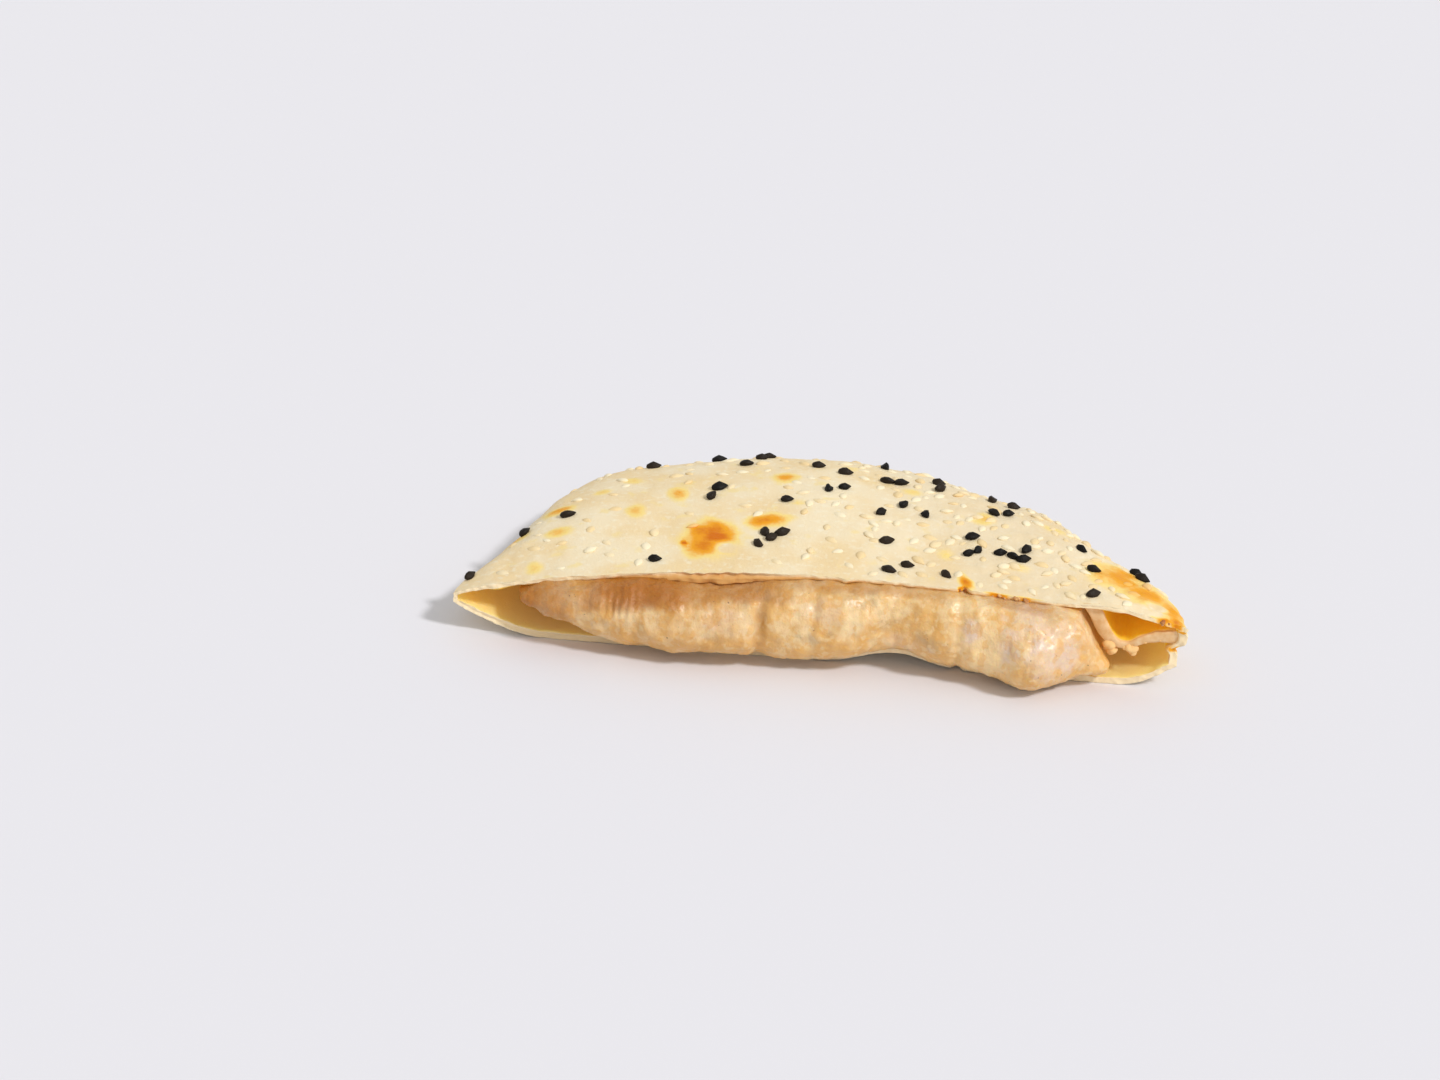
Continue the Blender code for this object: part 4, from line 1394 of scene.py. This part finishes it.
def colour(red, green, blue):
    """A colour given as 0 to 255, turned by the sRGB rule into the linear light that Blender mixes."""
    shares = (value / 255.0 for value in (red, green, blue))
    return tuple(v / 12.92 if v <= 0.04045 else ((v + 0.055) / 1.055) ** 2.4 for v in shares) + (1.0,)


CREAM = colour(246, 229, 195)
DEEP_CREAM = colour(242, 216, 168)
# Shaded cream is painted shade for the band right of the middle.
SHADED_CREAM = colour(228, 207, 172)
FLOUR = colour(251, 241, 217)
YELLOW = colour(248, 222, 150)
CRUST_SPOTS = (
    ((14.0,), (0.35, 0.68), 1.0, DEEP_CREAM), ((1.3, 4.0), (0.50, 0.72), 0.5, FLOUR),
    ((4.0, 3.0, 6.0), (0.58, 0.74), 0.6, YELLOW),
)
TOAST_STEPS = (
    (0.02, 0.22, colour(252, 222, 140)), (0.18, 0.48, colour(243, 166, 34)),
    (0.44, 0.78, colour(216, 114, 3)), (0.84, 0.99, colour(128, 44, 20)),
)
CRUMB_PALE = colour(252, 229, 190)
CRUMB_TAN = colour(220, 166, 100)
POCKET_FLOOR = colour(255, 214, 138)
# The ceiling's colour is the oil's stain with painted shade under the top sheet in it.
CEILING_STAIN_AND_SHADE = colour(252, 200, 58)

print("browned skin takes on", len(TOAST_STEPS), "colours in turn")

# %% Crust finish
PAINTED_SHADE_SHARE = 0.4
SHADE_BAND_EDGE = (0.0, 0.04)
SHADE_BAND_END_EDGE = (0.045, 0.062)
TOAST_GRAIN = (0.8, 3.0, 4.0)
TOAST_UNEVEN = 0.16
TOAST_EDGE = (0.02, 0.2)
CRUMB_GRAIN = (1.8, 3.0, 2.0)
CRUMB_UNEVEN = 0.5
CRUMB_EDGE = (0.25, 0.85)
BAKED_CRUMB_EDGE = (0.15, 0.45)
POCKET_GRAIN = (5.0,)
POCKET_UNEVEN = 0.3
CEILING_EDGE = (0.5, 0.95)
POCKET_EDGE = (0.1, 0.4)
CRUST_SHINE = 0.15
CRUST_ROUGHNESS = 0.62
TOAST_SMOOTHER = 0.16
FLOUR_GRAIN = (1.3, 4.0)
FLOUR_ROUGHER = 0.10
PORE_GRAIN = (0.55, 3.0)
PORES_LESS_IN_CRUMB = 0.5
HOLLOW_GRAIN = (1.7, 2.0)
HOLLOWS = 0.8
CRUST_BUMP = 0.10
SKIN = (0.25, 0.0008, 0.0)
# The lining's glow is painted light: it stands for daylight that comes through the thin sheet.
LINING = (1.0, 0.003, 0.07)


def crust_finish(name, through, reach, glow):
    """The finish of dough that lets a share of the light in, reach metres deep, and may have a painted glow.
    """
    finish = Finish(name, {
        "Specular IOR Level": CRUST_SHINE, "Subsurface Weight": through, "Subsurface Scale": reach,
        "Subsurface Radius": EVEN, "Emission Strength": glow,
    })
    shade = finish.spots(CREAM, *CRUST_SPOTS)
    along = finish.add("ShaderNodeSeparateXYZ", None, {"Vector": finish.place})
    # Painted shade: a band right of the middle that tones down the lamp's stronger light there.
    shade_band = finish.step(along, *SHADE_BAND_EDGE) - finish.step(along, *SHADE_BAND_END_EDGE)
    shade = finish.mix(PAINTED_SHADE_SHARE * shade_band, shade, SHADED_CREAM)
    painted = finish.mark("toast")
    toast = painted + finish.uneven(TOAST_UNEVEN, *TOAST_GRAIN) * finish.step(painted, *TOAST_EDGE)
    for low, high, tone in TOAST_STEPS:
        shade = finish.mix(finish.step(toast, low, high), shade, tone)
    crumb = finish.mark("crumb")
    torn = finish.mark("bare") + finish.uneven(CRUMB_UNEVEN, *CRUMB_GRAIN)
    tan = finish.mix(finish.step(torn, *CRUMB_EDGE), CRUMB_PALE, CRUMB_TAN)
    shade = finish.mix(crumb * (1.0 - finish.step(toast, *BAKED_CRUMB_EDGE)), shade, tan)
    pocket = finish.mark("pocket")
    # Deeper orange on the ceiling: partly the oil's stain, partly painted shade under the top sheet.
    deep = finish.step(pocket + finish.uneven(POCKET_UNEVEN, *POCKET_GRAIN), *CEILING_EDGE)
    inner = finish.mix(deep, POCKET_FLOOR, CEILING_STAIN_AND_SHADE)
    shade = finish.mix(finish.step(pocket, *POCKET_EDGE), shade, inner)
    rough = CRUST_ROUGHNESS - TOAST_SMOOTHER * toast + finish.uneven(FLOUR_ROUGHER, *FLOUR_GRAIN)
    pores = finish.grain(*PORE_GRAIN) * (1.0 - PORES_LESS_IN_CRUMB * crumb)
    relief_of_dough = pores + HOLLOWS * finish.grain(*HOLLOW_GRAIN) * (1.0 + crumb)
    normal = finish.bump(relief_of_dough, CRUST_BUMP)
    # The painted glow takes the surface's own colour.
    finish.show(Base_Color=shade, Roughness=rough, Normal=normal, Emission_Color=shade)
    return finish.material


skin_and_lining = (crust_finish("baked crust", *SKIN), crust_finish("thin dough", *LINING))
for piece in (crust, ply):
    for material in skin_and_lining:
        piece.data.materials.append(material)
print("the crust's finish has", len(crust.data.materials[0].node_tree.nodes), "nodes")

# %% [markdown]
# # The finish of the paste
# Sesame paste is tan and half glossy with oil, and never one colour: it is mottled with pale beige, with
# ochre and with greyer patches where one looks a little way into it. Most patches are noise, the wide ones
# stretched upright as the knife drew them. Those that stand out on the real half are the painted ones, and
# several of them are painted light: a whitish sheen, paler paint on flanks in shade, warm bounce light low
# down and shade under the top sheet. A coat on the shader gives the wet shine over a rougher body, and it
# fades out under the painted caramel and shade.

# %% Colours of the paste
PASTE_TAN = colour(229, 186, 121)
PASTE_PALE = colour(241, 212, 162)
# A whitish painted sheen, also laid on as painted light where the paste lies in shade.
PASTE_PAINTED_LIGHT = colour(230, 206, 186)
# A warm paler tone for painted bounce light on shaded flanks.
PASTE_PAINTED_BOUNCE = colour(252, 217, 162)
PASTE_OCHRE = colour(231, 175, 88)
PASTE_GREY = colour(190, 156, 110)
# Caramel brown of baked paste, also laid on as painted shade under the top sheet.
CARAMEL_AND_SHADE_COLOUR = colour(170, 98, 10)
PASTE_SPECK = colour(92, 62, 40)
TALL = (1.0, 1.0, 1.3)
TALLER = (1.0, 1.0, 1.5)
WIDE_SPOTS = ((5.0, 2.0, 0.0, TALL), (0.38, 0.62), 1.0, PASTE_PALE)
SMALL_SPOTS = (
    ((2.2, 2.0, 19.0, TALL), (0.53, 0.60), 0.45, PASTE_OCHRE),
    ((1.8, 1.5, 11.0), (0.55, 0.64), 0.50, PASTE_PALE),
)
SPECKS = ((0.9, 1.0, 15.0), (0.76, 0.82), 0.7, PASTE_SPECK)

print("the paste has", len(SMALL_SPOTS), "kinds of small spots on its wide ones")

# %% Paste finish
OCHRE_GRAIN = (5.5, 2.5, 3.0, TALL)
OCHRE_EDGE = (0.46, 0.68)
OCHRE_SHARE = 0.7
WARM_BOUNCE_SHARE = 0.2
CLEAR_GRAIN = (3.2, 3.0, 7.0)
CLEAR_EDGE = (0.54, 0.66)
CLEAR_BY_CHANCE = 0.35
CLEAR_SHARE = 0.6
CARAMEL_AND_SHADE_SHARE = 0.9
PASTE_ROUGHNESS = 0.42
PASTE_ROUGH_GRAIN = (2.0, 3.0)
PASTE_UNEVEN = 0.3
CLEAR_SMOOTHER = 0.10
DRAG_GRAIN = (1.2, 4.0, 0.0, TALLER)
PIT_GRAIN = (0.45, 2.0)
PITS = 0.5
PASTE_BUMP = 0.28
PASTE_COAT = 0.5
PASTE_FIXED = {
    "Specular IOR Level": 0.35, "Subsurface Weight": 0.5, "Subsurface Scale": 0.0016,
    "Subsurface Radius": (1.0, 0.7, 0.4), "Coat Roughness": 0.3,
}


def paste_finish(name):
    """Tan paste with spots by chance and listed patches, wet except under the painted caramel and shade."""
    finish = Finish(name, PASTE_FIXED)
    shade = finish.spots(PASTE_TAN, WIDE_SPOTS)
    # Ochre by chance, with painted warm bounce light added low down.
    ochre_and_bounce = finish.grain(*OCHRE_GRAIN) + WARM_BOUNCE_SHARE * finish.mark("warm_bounce")
    shade = finish.mix(OCHRE_SHARE * finish.step(ochre_and_bounce, *OCHRE_EDGE), shade, PASTE_OCHRE)
    clear = finish.mark("grey") + CLEAR_BY_CHANCE * finish.step(finish.grain(*CLEAR_GRAIN), *CLEAR_EDGE)
    shade = finish.mix(CLEAR_SHARE * clear, shade, PASTE_GREY)
    # Painted bounce light on shaded flanks.
    shade = finish.mix(finish.mark("bounce"), shade, PASTE_PAINTED_BOUNCE)
    # Painted sheen, and painted light where the paste lies in shade.
    shade = finish.mix(finish.mark("light"), shade, PASTE_PAINTED_LIGHT)
    shade = finish.spots(shade, *SMALL_SPOTS)
    # Baked caramel with painted shade under the sheet's lip and at the left end; the coat thins with it.
    baked = CARAMEL_AND_SHADE_SHARE * finish.mark("caramel_shade")
    shade = finish.mix(baked, shade, CARAMEL_AND_SHADE_COLOUR)
    shade = finish.spots(shade, SPECKS)
    rough = PASTE_ROUGHNESS + finish.uneven(PASTE_UNEVEN, *PASTE_ROUGH_GRAIN) - CLEAR_SMOOTHER * clear
    height = finish.grain(*DRAG_GRAIN) + PITS * finish.grain(*PIT_GRAIN)
    wet = PASTE_COAT * (1.0 - baked)
    finish.show(Base_Color=shade, Roughness=rough, Coat_Weight=wet, Normal=finish.bump(height, PASTE_BUMP))
    return finish.material


paste.data.materials.append(paste_finish("tahini paste"))
print("the paste's finish has", len(paste.data.materials[0].node_tree.nodes), "nodes")

# %% [markdown]
# # The finish of the seeds
# Black cumin is nearly black with a dull pitted skin that shines a little on its ridges. Sesame is ivory to
# straw coloured with a satin skin. Every seed has its own shade, painted on its points, so that no two
# neighbours match.

# %% Seed finishes
BLACK = colour(14, 11, 9)
BROWN_BLACK = colour(44, 34, 24)
IVORY = colour(249, 236, 204)
STRAW = colour(242, 215, 164)
GOLDEN = colour(246, 188, 92)
BURNT = colour(156, 68, 14)
CRUMB_GOLD = colour(244, 200, 138)
SEED_SHINE = 0.2
SEED_PIT_GRAIN = (0.35, 2.0)
SEED_PITS_ROUGHER = 0.2
SEED_GRAIN = (1.1, 2.0)
SEED_UNEVEN = 0.5
SEED_SHADE_EDGE = (0.15, 1.0)
SEED_BAKED_EDGE = (0.05, 0.5)


def seed_finish(name, first, second, baked, rough, depth):
    """Seeds of two shades, with a third for those that baked brown together with the skin under them."""
    finish = Finish(name, {"Specular IOR Level": SEED_SHINE})
    share = finish.mark("shade") + finish.uneven(SEED_UNEVEN, *SEED_GRAIN)
    plain = finish.mix(finish.step(share, *SEED_SHADE_EDGE), first, second)
    finish.show(
        Base_Color=finish.mix(finish.step(finish.mark("toast"), *SEED_BAKED_EDGE), plain, baked),
        Roughness=rough + finish.uneven(SEED_PITS_ROUGHER, *SEED_PIT_GRAIN),
        Normal=finish.bump(finish.grain(*SEED_PIT_GRAIN), depth),
    )
    return finish.material


for piece, name, first, second, baked, rough, depth in (
    (black_seeds, "black cumin", BLACK, BROWN_BLACK, BLACK, 0.5, 0.15),
    (pale_seeds, "sesame", IVORY, STRAW, GOLDEN, 0.45, 0.06),
    (crumbs, "crumbs of dough", CRUMB_GOLD, BURNT, BURNT, 0.7, 0.10),
):
    piece.data.materials.append(seed_finish(name, first, second, baked, rough, depth))
print("each seed has its own shade")

# %% [markdown]
# # Join the pieces to the frame
# Every piece rides on the one body of the half. The crust, its ply, its seeds and its crumbs stand for the
# solid of the dough, and the paste stands for its own, so neither plain solid shows.

# %% Ride and replace
for piece in (crust, ply, black_seeds, pale_seeds, crumbs):
    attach(piece, "root")
    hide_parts("dough")
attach(paste, "root")
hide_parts("tahini_paste")
print("both plain solids are replaced")
